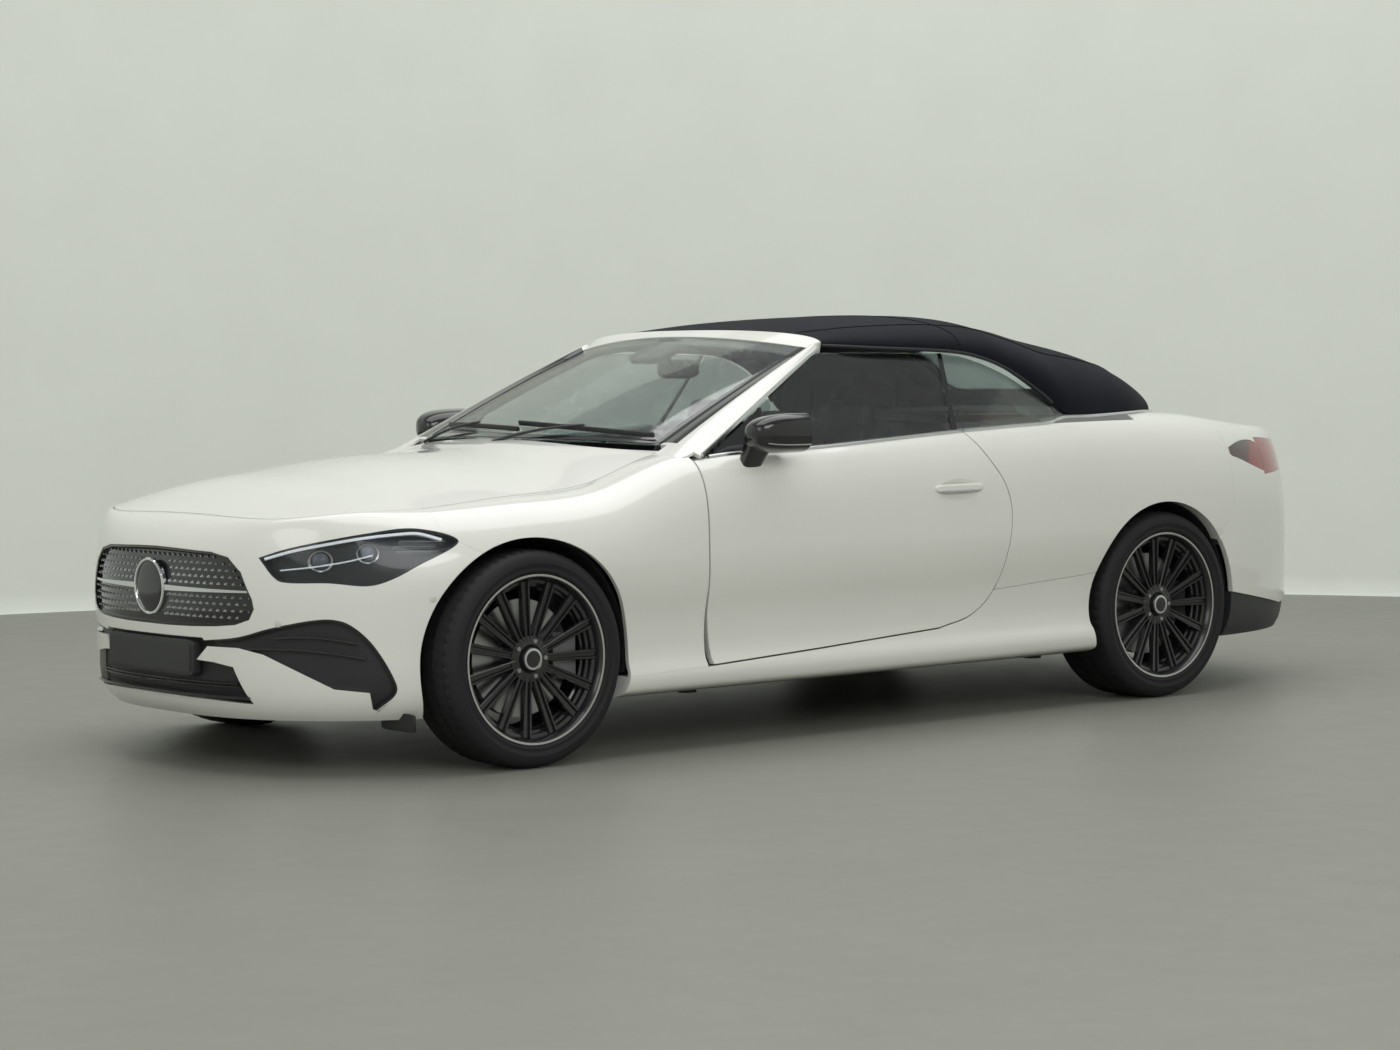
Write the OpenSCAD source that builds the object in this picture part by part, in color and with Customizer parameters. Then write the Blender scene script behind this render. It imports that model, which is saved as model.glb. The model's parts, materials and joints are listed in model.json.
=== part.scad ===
// Two-door convertible with a closed cloth roof. Millimetres, X to the rear, Y to the car's right, Z up.

/* [Axles and wheels] */
// Front axle to the front edge of the door
axle_to_door = 692; // [686:1:700]
// Rear edge of the door to the rear axle
door_to_axle = 796; // [786:1:806]
// Nose ahead of the front axle
front_overhang = 840; // [820:5:860]
// Tail behind the rear axle
rear_overhang = 1145; // [1120:5:1170]
// Middle of the left tyre to middle of the right one, front
track_front = 1612; // [1600:1:1614]
// Middle of the left tyre to middle of the right one, rear
track_rear = 1580; // [1570:1:1582]
// Height of a tyre's side wall above the rim
sidewall = 86; // [82:1:89]
// Width of a front tyre
tyre_w_front = 245; // [235:1:247]
// Width of a rear tyre
tyre_w_rear = 275; // [265:1:277]
// Diameter of the rim at the tyre's bead
rim_d = 508; // [490:1:520]
// Spokes on a wheel
spokes = 15; // [10:1:18]
// Room between a brake disc and the rim
disc_gap = 69; // [60:1:80]
// Room between tyre and wheel arch
arch_gap = 38; // [34:1:44]

/* [Body] */
// Width over the doors
body_w = 1860; // [1856:2:1880]
// Height of the sill's underside
sill_z = 190; // [184:1:200]
// Height of the roof's top
roof_z = 1412; // [1404:1:1424]
// Length of the door along the sill
door_len = 1377; // [1365:1:1385]
// Thickness of the door
door_t = 100; // [92:1:106]
// Thickness of the outer panels
skin_t = 16; // [12:1:20]
// Shut line between a moving panel and the body
shut = 6; // [5:0.5:7]
// Width of the shoulder beside the bonnet and the boot's deck
shoulder_w = 230; // [224:1:240]

/* [Cabin] */
// Thickness of the side glass
glass_t = 5; // [4:0.5:6]
// Thickness of the cloth roof with its lining
roof_t = 28; // [22:1:32]
// Diameter of the steering wheel
steer_d = 370; // [350:1:380]
// Height of the front seat's cushion
seat_z = 480; // [460:1:490]
// Width of a front seat
seat_w = 500; // [460:2:510]

/* [Hidden] */
$fn = 48;

// Clearance of a seat, of a running fit and of a seam between fixed panels
seat = 0.3;
run = 0.3;

// Outside diameter of a tyre, diameter of a brake disc, distance between the axles
tyre_d = rim_d + 2 * sidewall;
disc_d = rim_d - 2 * disc_gap;
wheelbase = axle_to_door + door_len + door_to_axle;
xf = front_overhang - (front_overhang + wheelbase + rear_overhang) / 2;
xr = xf + wheelbase;
x_nose = xf - front_overhang;
x_tail = xr + rear_overhang;
hw = body_w / 2;
tyre_r = tyre_d / 2;
arch_r = tyre_r + arch_gap;
x_df = xf + axle_to_door;
x_dr = x_df + door_len;
sill_in = hw - 130;
// Half the width of the bonnet and of the boot's deck
deck_w = hw - shoulder_w;
// Half-widths of the glasshouse and the cabin, drawn on a car with this half-width and half-length, go out with its side
drawn_hw = 930;
drawn_end = 2425;
function out(y) = y + hw - drawn_hw;
// Clear of the body's side, for cuts that go right through it
outside = hw + 70;
// Middle of the front rails across
rail_y = hw - 530;

// Where the plan starts to draw in, and the ends of the bonnet and the deck
x_ft = xf + 285;
x_rt = xr + 20;
x_bc = xf + 185;
x_bf = xf - 705;
x_dc = xr + 120;
x_de = xr + 1020;

// Station, height of the widest line, height of the shoulder, squareness of the shoulder, crown
stations = [
  [x_nose, 505, 788, 2.0, 0], [xf - 515, 540, 795, 2.0, 48], [xf - 275, 575, 811, 2.0, 78],
  [xf, 600, 834, 2.2, 96], [xf + 351, 620, 863, 2.5, 105], [x_df, 640, 962, 3.2, 60],
  [x_df + 593, 650, 989, 3.4, 40], [x_dr - 126, 655, 1026, 3.4, 30], [xr - 376, 650, 1044, 3.2, 30],
  [xr + 220, 640, 1036, 2.6, 16], [xr + 640, 620, 985, 2.2, 18], [x_tail, 560, 940, 2.0, 30]];
// Height, inset of the side below the widest line
flank = [[sill_z - 20, 90], [sill_z, 70], [sill_z + 15, 28], [sill_z + 45, 12], [sill_z + 80, 14], [sill_z + 110, 30], [sill_z + 170, 36], [sill_z + 250, 30], [sill_z + 350, 8], [sill_z + 430, 0], [900, 0]];
// Height, inset of the bumpers below the widest line
apron = [[165, 70], [200, 36], [245, 14], [310, 4], [400, 2], [500, 0], [900, 0]];
// Heights of the glasshouse, drawn over a rise of 412 from the belt, stretched to the roof's top
belt_top = 1000;
function up(z) = belt_top + (z - belt_top) * (roof_z - belt_top) / 412;
// Roof station, half-width at the rail, height of the rail (the body's own top if that is higher), height of the crown
roof = [
  [xf + 1435, 645, up(1306), up(1360)], [xf + 1650, 668, up(1296), up(1392)], [x_dr - 69, 676, up(1281), up(1409)],
  [xr - 715, 688, up(1258), up(1412)], [xr - 595, 712, up(1212), up(1404)], [xr - 475, 752, up(1130), up(1388)],
  [xr - 365, 792, 0, up(1366)], [xr - 220, 790, 0, up(1335)], [xr - 10, 755, 0, up(1284)],
  [xr + 125, 700, 0, up(1226)], [xr + 240, 620, 0, up(1142)], [xr + 310, 480, 0, up(1072)]];
roof_bow = 65;

// Smooth reading of column c of a table at x
function seg(t, x, i = 0) = i >= len(t) - 2 || x < t[i + 1][0] ? i : seg(t, x, i + 1);
function slope(t, c, i) = let (a = max(0, i - 1), b = min(len(t) - 1, i + 1)) (t[b][c] - t[a][c]) / (t[b][0] - t[a][0]);
function at(t, c, x) = let (i = seg(t, x), h = t[i + 1][0] - t[i][0], s = min(1, max(0, (x - t[i][0]) / h)))
  t[i][c] * (2 * s ^ 3 - 3 * s ^ 2 + 1) + slope(t, c, i) * h * (s ^ 3 - 2 * s ^ 2 + s)
  + t[i + 1][c] * (3 * s ^ 2 - 2 * s ^ 3) + slope(t, c, i + 1) * h * (s ^ 3 - s ^ 2);
function mix(a, b, s) = a + (b - a) * s;
function over(n) = [for (i = [0:n]) i / n];
function rounded(u, n) = (1 - min(1, max(0, u)) ^ n) ^ (1 / n);

// Plan of the widest line and of the shoulder line, and the top surface between the shoulders
function wide_y(x) = hw * rounded((x_ft - x) / (x_ft - x_nose), 2.6) * rounded((x - x_rt) / (x_tail - x_rt), 2.8);
function shoulder_y(x) = deck_w * rounded((x_bc - x) / (x_bc - x_bf), 5) * rounded((x - x_dc) / (x_de - x_dc), 4.5);
function top_z(x, y) = at(stations, 2, x) + at(stations, 4, x) * (1 - min(1, abs(y) / deck_w) ^ 2.2);
function belt(x) = at(stations, 2, x) - 28;
function side_y(x, z) = let (w = wide_y(x), k = shoulder_y(x), zw = at(stations, 1, x), zk = at(stations, 2, x), m = at(stations, 3, x))
  z <= zw ? w - at(flank, 1, z) : k + (w - k) * rounded((z - zw) / (zk - zw), m);

function body_top(x, y) = let (w = wide_y(x), k = shoulder_y(x), zw = at(stations, 1, x), zk = at(stations, 2, x), m = at(stations, 3, x))
  abs(y) <= k ? top_z(x, y) : zw + (zk - zw) * rounded((abs(y) - k) / (w - k), m);

// Closed solid between an outer and an inner grid; seen from outside i runs right and j runs up
module shell(outer, inner) {
  n = len(outer); m = len(outer[0]);
  o = function (i, j) i * m + j;
  q = function (i, j) n * m + i * m + j;
  polyhedron(points = concat([for (r = outer) each r], [for (r = inner) each r]), faces = concat(
    [for (i = [0:n - 2], j = [0:m - 2]) each [[o(i, j), o(i, j + 1), o(i + 1, j + 1)], [o(i, j), o(i + 1, j + 1), o(i + 1, j)],
      [q(i, j), q(i + 1, j + 1), q(i, j + 1)], [q(i, j), q(i + 1, j), q(i + 1, j + 1)]]],
    [for (i = [0:n - 2]) each [[o(i, 0), o(i + 1, 0), q(i + 1, 0)], [o(i, 0), q(i + 1, 0), q(i, 0)],
      [q(i, m - 1), q(i + 1, m - 1), o(i + 1, m - 1)], [q(i, m - 1), o(i + 1, m - 1), o(i, m - 1)]]],
    [for (j = [0:m - 2]) each [[q(0, j), q(0, j + 1), o(0, j + 1)], [q(0, j), o(0, j + 1), o(0, j)],
      [o(n - 1, j), o(n - 1, j + 1), q(n - 1, j + 1)], [o(n - 1, j), q(n - 1, j + 1), q(n - 1, j)]]]), convexity = 6);
}

// One section of the left side, bottom to shoulder, drawn in by t
function side_section(x, t, low, up, z0) = let (w = wide_y(x), k = shoulder_y(x), zw = at(stations, 1, x), zk = at(stations, 2, x), m = at(stations, 3, x))
  concat([for (s = over(low)) let (z = mix(z0, zw, s)) [x, -(w - at(flank, 1, z) - t), z]],
    [for (s = over(up)) if (s > 0) [x, -(k + (w - k - t) * cos(90 * s) ^ (2 / m)), zw + (zk - t - zw) * sin(90 * s) ^ (2 / m)]]);
module side_shell(x0, x1, n, t, low = 5, up = 5, z0 = sill_z) {
  shell([for (s = over(n)) side_section(mix(x0, x1, s), 0, low, up, z0)], [for (s = over(n)) side_section(mix(x0, x1, s), t, low, up, z0)]);
}
// As side_shell with a flat inner face at y
module side_block(x0, x1, n, y, low = 6, z1 = 560) {
  g = function (x, flat) [for (s = over(low)) let (z = mix(sill_z, z1, s)) [x, flat ? -y : -side_y(x, z), z]];
  shell([for (s = over(n)) g(mix(x0, x1, s), false)], [for (s = over(n)) g(mix(x0, x1, s), true)]);
}

// A column of a bumper: e is -1 for the nose and 1 for the tail, a runs from 1 to -1 across, t draws it in
function end_frame(e, a, xb) = let (
    xt = e < 0 ? x_ft : x_rt, xn = e < 0 ? x_nose : x_tail, xk = e < 0 ? x_bf : x_de, n = e < 0 ? 2.6 : 2.8, l = abs(xn - xt),
    xe = xb - e * -90,
    yw = wide_y(xb) * sin(90 * abs(a)) ^ 0.9, ya = min(1, yw / hw), sg = a < 0 ? -1 : 1,
    xw = xt + e * l * rounded(ya, n), u = (xw - xt) / l,
    nx = e * abs(u) ^ (n - 1) / l, ny = ya ^ (n - 1) / hw, nn = sqrt(nx * nx + ny * ny) + 1e-9,
    xs = e * (xw - xe) <= 0 ? xw : xe + (xw - xe) * (xk - xe) / (xn - xe), ys = shoulder_y(xs))
  [xw, yw, nx / nn, ny / nn, xs, ys, top_z(xs, ys), at(stations, 1, xw), at(stations, 3, xw), sg];
function end_below(f, z, t) = let (i = at(apron, 1, z) + t) [f[0] - i * f[2], f[9] * (f[1] - i * f[3]), z];
function end_above(f, c, h, t) = [f[4] + (f[0] - t * f[2] - f[4]) * c, f[9] * (f[5] + (f[1] - t * f[3] - f[5]) * c), f[7] + (f[6] - t - f[7]) * h];
function end_column(e, a, t, xb, z0, low, up) = let (f = end_frame(e, a, xb), m = f[8])
  concat([for (s = over(low)) end_below(f, mix(z0, f[7], s), t)],
    [for (s = over(up)) if (s > 0) end_above(f, cos(90 * s) ^ (2 / m), sin(90 * s) ^ (2 / m), t)]);
// A bumper's point at width y and height z
function end_point(e, y, z, t, xb) = let (f = end_frame(e, sign(y) * asin((abs(y) / wide_y(xb)) ^ (1 / 0.9)) / 90, xb), h = (z - f[7]) / (f[6] - t - f[7]))
  h <= 0 ? end_below(f, z, t) : end_above(f, rounded(h, f[8]), h, t);
module end_shell(e, xb, t, s = 0, n = 24, z0 = 172, low = 5, up = 5) {
  c = [for (i = over(n)) e < 0 ? 1 - 2 * i : 2 * i - 1];
  shell([for (a = c) end_column(e, a, s, xb, z0, low, up)], [for (a = c) end_column(e, a, s + t, xb, z0, low, up)]);
}

// The top between the shoulders, from edge to edge
module deck(rows, y1, n, t) {
  g = function (d) [for (r = rows) [for (s = over(n)) let (y = cross_y(n, y1)[round(s * n)], x = r(y)) [x, y, top_z(x, y) - d]]];
  shell(g(0), g(t));
}

// Outline in side view, through the whole car or one half
module side_cut(pts, y0, y1) { translate([0, y1, 0]) rotate([90, 0, 0]) linear_extrude(y1 - y0) polygon(pts); }
// Outline in front view (y to the right), from x0 to x1
module front_cut(x0, x1) { translate([x0, 0, 0]) rotate([90, 0, 90]) linear_extrude(x1 - x0) children(); }
module both() { children(); mirror([0, 1, 0]) children(); }
module arches(r, y0, y1) { for (x = [xf, xr]) translate([x, -y0, tyre_r]) rotate([90, 0, 0]) cylinder(r = r / cos(180 / 44), h = y1 - y0, $fn = 44); }
// One mesh of what it holds, cut by the mesh engine
module meshed() { resize([0, 0, 0]) children(); }
// A smooth line through a few points
function line_through(p, n = 4) = let (t = [for (i = [0:len(p) - 1]) [i, p[i][0], p[i][1]]])
  [for (i = [0:(len(p) - 1) * n]) [at(t, 1, i / n), at(t, 2, i / n)]];

// Side view lines: top of the sill, rear edge of the door, seam of the bumpers
function sill_line(d) = [[xf + 330, 260 + d], [x_df + 25, 272 + d], [x_df + 497, 294 + d], [x_dr - 326, 325 + d]];
function quarter_line(d) = [[x_dr - 60, 446 + d], [xr - 260, 484 + d]];
function door_rear(d) = line_through([[x_dr - 326 + d, 325], [x_dr - 171 + d, 361], [x_dr - 68 + d, 442], [x_dr - 18 + d, 579], [x_dr + d, 701], [x_dr - 26 + d, 807], [x_dr - 103 + d, 914], [x_dr - 175 + d, 1010]], 2);
function belt_line(x0, x1, d, n = 8) = [for (s = over(n)) let (x = mix(x0, x1, s)) [x, belt(x) + d]];

module door_outline(d) {
  offset(delta = -d) polygon(concat([[x_df + 25, 272], [x_df, 620], [x_df, belt(x_df)]], belt_line(x_df + 60, x_dr - 180, 0),
    [for (i = [len(door_rear(0)) - 2:-1:0]) door_rear(0)[i]], [[x_df + 497, 294]]));
}

// Floor with its tunnel, the bulkhead behind the rear seat, the boot's floor and the jacking pads
floor_z = sill_z + 26;
bulkhead_x = xf + 435;
bulkhead_t = 40;
module floor_pan() color("dimgray") {
  y = sill_in - seat;
  translate([bulkhead_x, -y, sill_z - 8]) cube([xr - 350 - bulkhead_x, 2 * y, floor_z - sill_z + 8]);
  translate([bulkhead_x + bulkhead_t + seat, -130, sill_z + 20]) cube([xr - 810 - bulkhead_x - bulkhead_t - seat, 260, 130]);
  translate([xr - 390, -out(535), sill_z + 20]) cube([40, 2 * out(535), 700]);
  translate([xr - 355, -out(500), sill_z + 150]) cube([1180, 2 * out(500), 34]);
  translate([xr + 820, -out(560), sill_z + 150]) cube([40, 2 * out(560), 160]);
  for (x = [x_df + 60, xr - 500], s = [-1, 1]) translate([x, s * (sill_in - 70), sill_z - 22]) cylinder(r = 32, h = 15);
}

// Bulkhead ahead of the cabin, front rails, door posts and the fixed halves of the door hinges
module front_structure() color("dimgray") {
  y = sill_in - seat;
  z0 = floor_z + seat;
  translate([bulkhead_x, -y, z0]) cube([bulkhead_t, 2 * y, sill_z + 640 - z0]);
  translate([bulkhead_x, -out(640), 800]) cube([bulkhead_t, 2 * out(640), 70]);
  translate([xf - 600, -rail_y - 120, 390]) cube([45, 2 * rail_y + 240, 80]);
  for (s = [-1, 1]) {
    translate([xf - 560, s * rail_y - 35, 380]) cube([1000, 70, 100]);
    translate([x_df - 130, s * (y - 30) - 30, z0]) cube([110, 60, sill_z + 650 - z0]);
    translate([bulkhead_x + bulkhead_t - 5, s * (y - 30) - 30, 560]) cube([x_df - 120 - bulkhead_x - bulkhead_t, 60, 60]);
    translate([x_df - 70, s * out(717) - 27, 790]) cube([118, 54, 60]);
    for (z = hinge_z) {
      translate([x_df - 60, s * (hinge_y - 90) - 60, z]) cube([40, 120, 30]);
      translate([x_df - 60, s * (hinge_y - 78) - 8, z]) cube([hinge_x - x_df + 68, 16, 30]);
      translate([hinge_x - 8, s * (hinge_y - 42) - 42, z]) cube([16, 84, 30]);
      translate([hinge_x, s * hinge_y, z]) cylinder(r = 8, h = 30);
      translate([hinge_x, s * hinge_y, z - 15]) cylinder(r = 5, h = 60);
    }
  }
}

// Outer edge of the wheel housings
liner_y = hw - 60;
module sills() color("white") meshed() both() difference() {
  intersection() {
    side_block(xf + 300, xr - 250, 12, sill_in);
    side_cut(concat([[xf + 300, sill_z]], [for (p = sill_line(-shut / 2 - seat)) p], [for (p = door_rear(2)) if (p[1] > 326 && p[1] < 446) [p[0], p[1] - shut / 2]], quarter_line(-shut / 2 - seat), [[xr - 250, sill_z]]), -outside, 0);
  }
  arches(arch_r, 0, 2000);
  arches(arch_r + 11 + seat, 0, liner_y + seat);
}

module front_fenders() color("white") meshed() both() difference() {
  intersection() {
    side_shell(xf - 290, x_df, 11, skin_t);
    side_cut([[xf - 278, 2000], [xf - 278, 738], [xf - 158, 668], [xf - 158, 200], [xf + 300, 200], [xf + 330, 260 - shut / 2], [x_df + 18, 272 - shut / 2], [x_df - 5.5, 620], [x_df - 5.5, 2000]], -outside, -500);
  }
  arches(arch_r, 500, outside);
  arches(arch_r + 11 + seat, 500, liner_y + seat);
  front_corner(0) lamp_outline();
  bonnet_space(shut - 0.5);
}

module rear_quarters() color("white") meshed() both() difference() {
  intersection() {
    side_shell(x_dr - 200, xr + 400, 11, 45);
    side_cut(concat(belt_line(x_dr - 161, xr - 60, 0), [[xr - 60, 2000], [xr + 390, 2000], [xr + 390, 700], [xr + 300, 560], [xr + 300, 300], [xr, 300]],
      [for (i = [1:-1:0]) quarter_line(-shut / 2)[i]], [for (p = door_rear(shut / 2)) if (p[1] > 442 && p[1] < 980) p]), -outside, -500);
  }
  arches(arch_r, 500, outside);
  arches(arch_r + 11 + seat, 500, liner_y + seat);
  glass_plate(seat, glass_t + 2 * seat) rear_glass_outline(seat);
}

// Outlines in front view
module grille_outline(d) offset(delta = d) polygon(concat([for (p = grille_half) p], [for (i = [len(grille_half) - 1:-1:0]) [-grille_half[i][0], grille_half[i][1]]]));
grille_half = [[120, 694], [309, 688], [385, 674], [440, 630], [483, 547], [489, 518], [473, 485], [424, 468], [347, 461], [235, 457], [120, 455]];
module mouth_outline(d) offset(delta = d) polygon(concat([for (p = mouth_half) p], [for (i = [len(mouth_half) - 1:-1:0]) [-mouth_half[i][0], mouth_half[i][1]]]));
mouth_half = [[200, 424], [290, 424], [312, 399], [260, 354], [335, 350], [411, 338], [443, 266], [462, 224], [300, 232], [120, 236]];
// A cut drawn square to a line of sight at a corner: turn from +Y towards +X, dip below level
module corner_cut(turn, dip, d0, d1, d, end) {
  a = [cos(turn), -sin(turn), 0]; n = [sin(turn) * cos(dip), cos(turn) * cos(dip), -sin(dip)]; u = cross(a, n);
  both() translate([end - sign(end) * drawn_end, drawn_hw - hw, 0]) multmatrix([[a.x, u.x, n.x, 0], [a.y, u.y, n.y, 0], [a.z, u.z, n.z, 0]]) translate([0, 0, d0]) linear_extrude(d1 - d0) offset(delta = d) children();
}
module front_corner(d) corner_cut(33.4, 4.5, -2300, -1380, d, x_nose) children();
module lamp_outline() polygon(line_through([[-1666, 540], [-1559, 569], [-1342, 606], [-1187, 620], [-1057, 579], [-1182, 506], [-1265, 464], [-1340, 446], [-1453, 457], [-1577, 461], [-1620, 478], [-1666, 540]], 3));
module intake_outline() polygon(line_through([[-1870, 290], [-1741, 298], [-1635, 324], [-1513, 345], [-1440, 346], [-1385, 325], [-1323, 267], [-1266, 173], [-1256, 118], [-1315, 67]], 2));
module blade_outline() polygon([[-1900, 238], [-1830, 273], [-1734, 266], [-1656, 244], [-1533, 181], [-1443, 135], [-1336, 122], [-1325, 60], [-1600, 20], [-1900, 20]]);

// Plans of the bonnet and of the deck, d wider
function cross_y(n, w) = [for (s = over(n)) let (v = 2 * s - 1) w * sign(v) * (1 - (1 - abs(v)) ^ 1.4)];
module bonnet_space(d) translate([0, 0, 700]) linear_extrude(400) offset(delta = d)
  polygon(concat([for (y = cross_y(18, deck_w - shut)) [bonnet_end(y), y]], [[xf + 900, deck_w - shut], [xf + 900, shut - deck_w]]));
module deck_space(d) translate([0, 0, 850]) linear_extrude(300) offset(delta = d)
  polygon(concat([for (y = cross_y(18, deck_w - 0.8)) [lid_end(y) - 3, y]], [[xr, deck_w - 0.8], [xr, 0.8 - deck_w]]));

module front_bumper() color("white") meshed() {
  difference() {
    intersection() {
      end_shell(-1, xf - 120, skin_t + 6);
      side_cut([[x_nose - 100, 100], [xf - 158 - seat, 100], [xf - 158 - seat, 668], [xf - 278 - seat, 738], [xf - 278 - seat, 2000], [x_nose - 100, 2000]], -outside, outside);
    }
    arches(arch_r, -outside, outside);
    arches(arch_r + 11 + seat, -liner_y - seat, liner_y + seat);
    bonnet_space(shut - 0.5);
    front_cut(x_nose - 50, xf - 500) grille_outline(0);
    front_cut(x_nose - 50, xf - 500) mouth_outline(0);
    front_corner(0) lamp_outline();
    front_corner(0) difference() { intake_outline(); blade_outline(); }
  }
}

// Frame of the grille, a bar each side of the round boss, and rows of small pins on the mesh behind
// Grille: back plate, plain disc, a bar each side that thins outwards, and staggered rows of small pins
badge_z = 570;
badge_r = 88;
pin_step = [30, 20.5];
grille_back = 12;
function grille_edge(y, first, last, step) = lookup(y, [for (i = [first:step:last]) grille_half[i]]);
grille_pins = [for (k = [-5:5], c = [-16:16]) let (y = (c + (k % 2 == 0 ? 0 : 0.5)) * pin_step[0], z = badge_z + k * pin_step[1])
  if (k != 0 && norm([y, z - badge_z]) > badge_r + 15 && abs(y) < 450 && z + 16 < grille_edge(abs(y) + 14, 0, 5, 1) && z - 12 > grille_edge(abs(y) + 14, 10, 5, -1)) [y, z]];
module grille() color("black") meshed() {
  intersection() {
    end_shell(-1, xf - 120, 30, grille_back);
    front_cut(x_nose - 50, xf - 500) grille_outline(-seat);
  }
  intersection() {
    end_shell(-1, xf - 120, 14, 2);
    front_cut(x_nose - 50, xf - 500) for (s = [-1, 1]) polygon([[s * (badge_r - 10), badge_z - 8], [s * 468, badge_z - 3], [s * 468, badge_z + 3], [s * (badge_r - 10), badge_z + 8]]);
  }
  translate([x_nose + 3, 0, badge_z]) rotate([0, 90, 0]) cylinder(r = badge_r, h = 24, $fn = 40);
  for (p = grille_pins) translate(end_point(-1, p[0], p[1], grille_back + 7, xf - 120)) rotate([0, -90, 0]) cylinder(r1 = 12, r2 = 0, h = 14, $fn = 3);
}

module front_intakes() color("black") meshed() difference() {
  intersection() {
    end_shell(-1, xf - 120, 26, skin_t + 6 + seat);
    union() {
      front_cut(x_nose - 50, xf - 500) mouth_outline(14);
      front_corner(12) intake_outline();
    }
  }
  translate([x_nose - 10, -258 - seat, 300 - seat]) cube([50 + seat, 516 + 2 * seat, 115 + 2 * seat]);
}

module headlamps() color("gray") meshed() intersection() {
  end_shell(-1, xf - 120, 60, 1);
  front_corner(-seat) lamp_outline();
}

module plate_holder() color("black") translate([x_nose, -258, 300]) difference() { cube([40, 516, 115]); translate([-1, 18, 8]) cube([5, 480, 99]); }

// Rear end
lid_w = deck_w - 110;
lid_hinge_y = lid_w - 50;
x_lid = xr + 345;
lid_gap = 14;
module lid_face(d) front_cut(xr + 600, x_tail + 60) polygon([[-lid_w + d, 700 + d], [lid_w - d, 700 + d], [lid_w - d, 1200], [-lid_w + d, 1200]]);
module rear_seam(d) side_cut([[xr + 300 + seat, 380 + d], [xr + 300 + seat, 560], [xr + 390 + seat, 700], [xr + 390 + seat, 1200], [xr + 1300, 1200], [xr + 1300, 300 + d], [xr + 760, 300 + d]], -outside, outside);
module tail_outline() polygon(line_through([[1759, 928], [1770, 899], [1803, 884], [1900, 835], [1990, 800], [1990, 900], [1891, 930], [1836, 955], [1795, 951], [1759, 928]], 3));
module tail_back() polygon([for (p = [[15, 815], [210, 800], [310, 790], [310, 940], [210, 936], [15, 905]]) [lid_w + p[0], p[1]]]);
module tail_cut(d) {
  intersection() { corner_cut(49.2, 2, -300, 900, d, x_tail) tail_outline(); translate([xr, -outside, 700]) cube([680, 2 * outside, 400]); }
  both() intersection() { front_cut(xr + 640, x_tail + 60) offset(delta = d) tail_back(); translate([xr, -outside, 700]) cube([2000, 2 * outside, 400]); }
}

module rear_bumper() color("white") meshed() difference() {
  intersection() { end_shell(1, xr + 290, skin_t + 6); rear_seam(0); }
  arches(arch_r, -outside, outside);
  arches(arch_r + 11 + seat, -liner_y - seat, liner_y + seat);
  lid_face(0);
  tail_cut(0);
  deck_space(seat);
}

module tail_lamps() color("red") meshed() difference() {
  intersection() { end_shell(1, xr + 290, 50, 1); tail_cut(-seat); rear_seam(0); }
  lid_face(0);
}

module rear_valance() color("dimgray") meshed() difference() {
  intersection() {
    end_shell(1, xr + 290, 40, 8, z0 = 200);
    side_cut([[xr + 300 + seat, 380 - seat], [xr + 760, 300 - seat], [xr + 1300, 300 - seat], [xr + 1300, 200], [xr + 300, 200]], -outside, outside);
  }
  arches(arch_r, -outside, outside);
  arches(arch_r + 11 + seat, -liner_y - seat, liner_y + seat);
}

// Place of the bonnet's hinge arms across
bonnet_arm = deck_w - 94;
function bonnet_end(y) = x_bc - (x_bc - x_bf) * rounded(abs(y) / deck_w, 5) + shut;
function lid_end(y) = x_dc + (x_de - x_dc) * rounded(abs(y) / deck_w, 4.5);
module deck_panel() color("white") meshed() difference() {
  deck([for (s = over(6)) function (y) mix(xr + 120, lid_end(y) - 3, s)], deck_w - 0.8, 18, skin_t);
  translate([x_lid - lid_gap, -lid_w - shut, 800]) cube([2000, 2 * lid_w + 2 * shut, 400]);
}
boot_axis = [x_lid + 10, 0, top_z(x_lid + 10, lid_hinge_y) - 7];
module boot_lid() color("white") meshed() difference() {
  union() {
    intersection() {
      deck([for (s = over(5)) function (y) mix(xr + 300, lid_end(y) + 6, s)], deck_w - 20, 16, skin_t + 4);
      translate([x_lid, -lid_w, 800]) cube([2000, 2 * lid_w, 400]);
    }
    intersection() { end_shell(1, xr + 290, skin_t + 6, n = 18, low = 2, up = 4); lid_face(shut); }
    for (s = [-1, 1]) translate([x_lid + 2, s * lid_hinge_y - 8, boot_axis.z - 30]) cube([60, 16, 30]);
  }
  for (s = [-1, 1]) translate([boot_axis.x, s * lid_hinge_y, boot_axis.z]) rotate([90, 0, 0]) cylinder(r = 4 + run, h = 80, center = true, $fn = 24);
  for (s = [-1, 1]) translate([x_lid - 1, s * lid_hinge_y - 26, boot_axis.z - 60]) cube([27, 18, 90]);
  for (s = [-1, 1]) translate([x_lid - 1, s * lid_hinge_y + 8, boot_axis.z - 60]) cube([27, 18, 90]);
}

module boot_hinges() color("dimgray") both() {
  z = top_z(x_lid - 24, lid_hinge_y - 12) - skin_t - 1.1;
  translate([x_lid - 46, lid_hinge_y - 22, boot_axis.z - 40]) cube([62, 10, 24]);
  translate([x_lid - 46, lid_hinge_y - 22, boot_axis.z - 40]) cube([22, 10, z - boot_axis.z + 40]);
  translate([boot_axis.x - 6, lid_hinge_y - 22, boot_axis.z - 40]) cube([12, 10, 45]);
  translate([boot_axis.x, lid_hinge_y + 16, boot_axis.z]) rotate([90, 0, 0]) cylinder(r = 4, h = 38);
}

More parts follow.
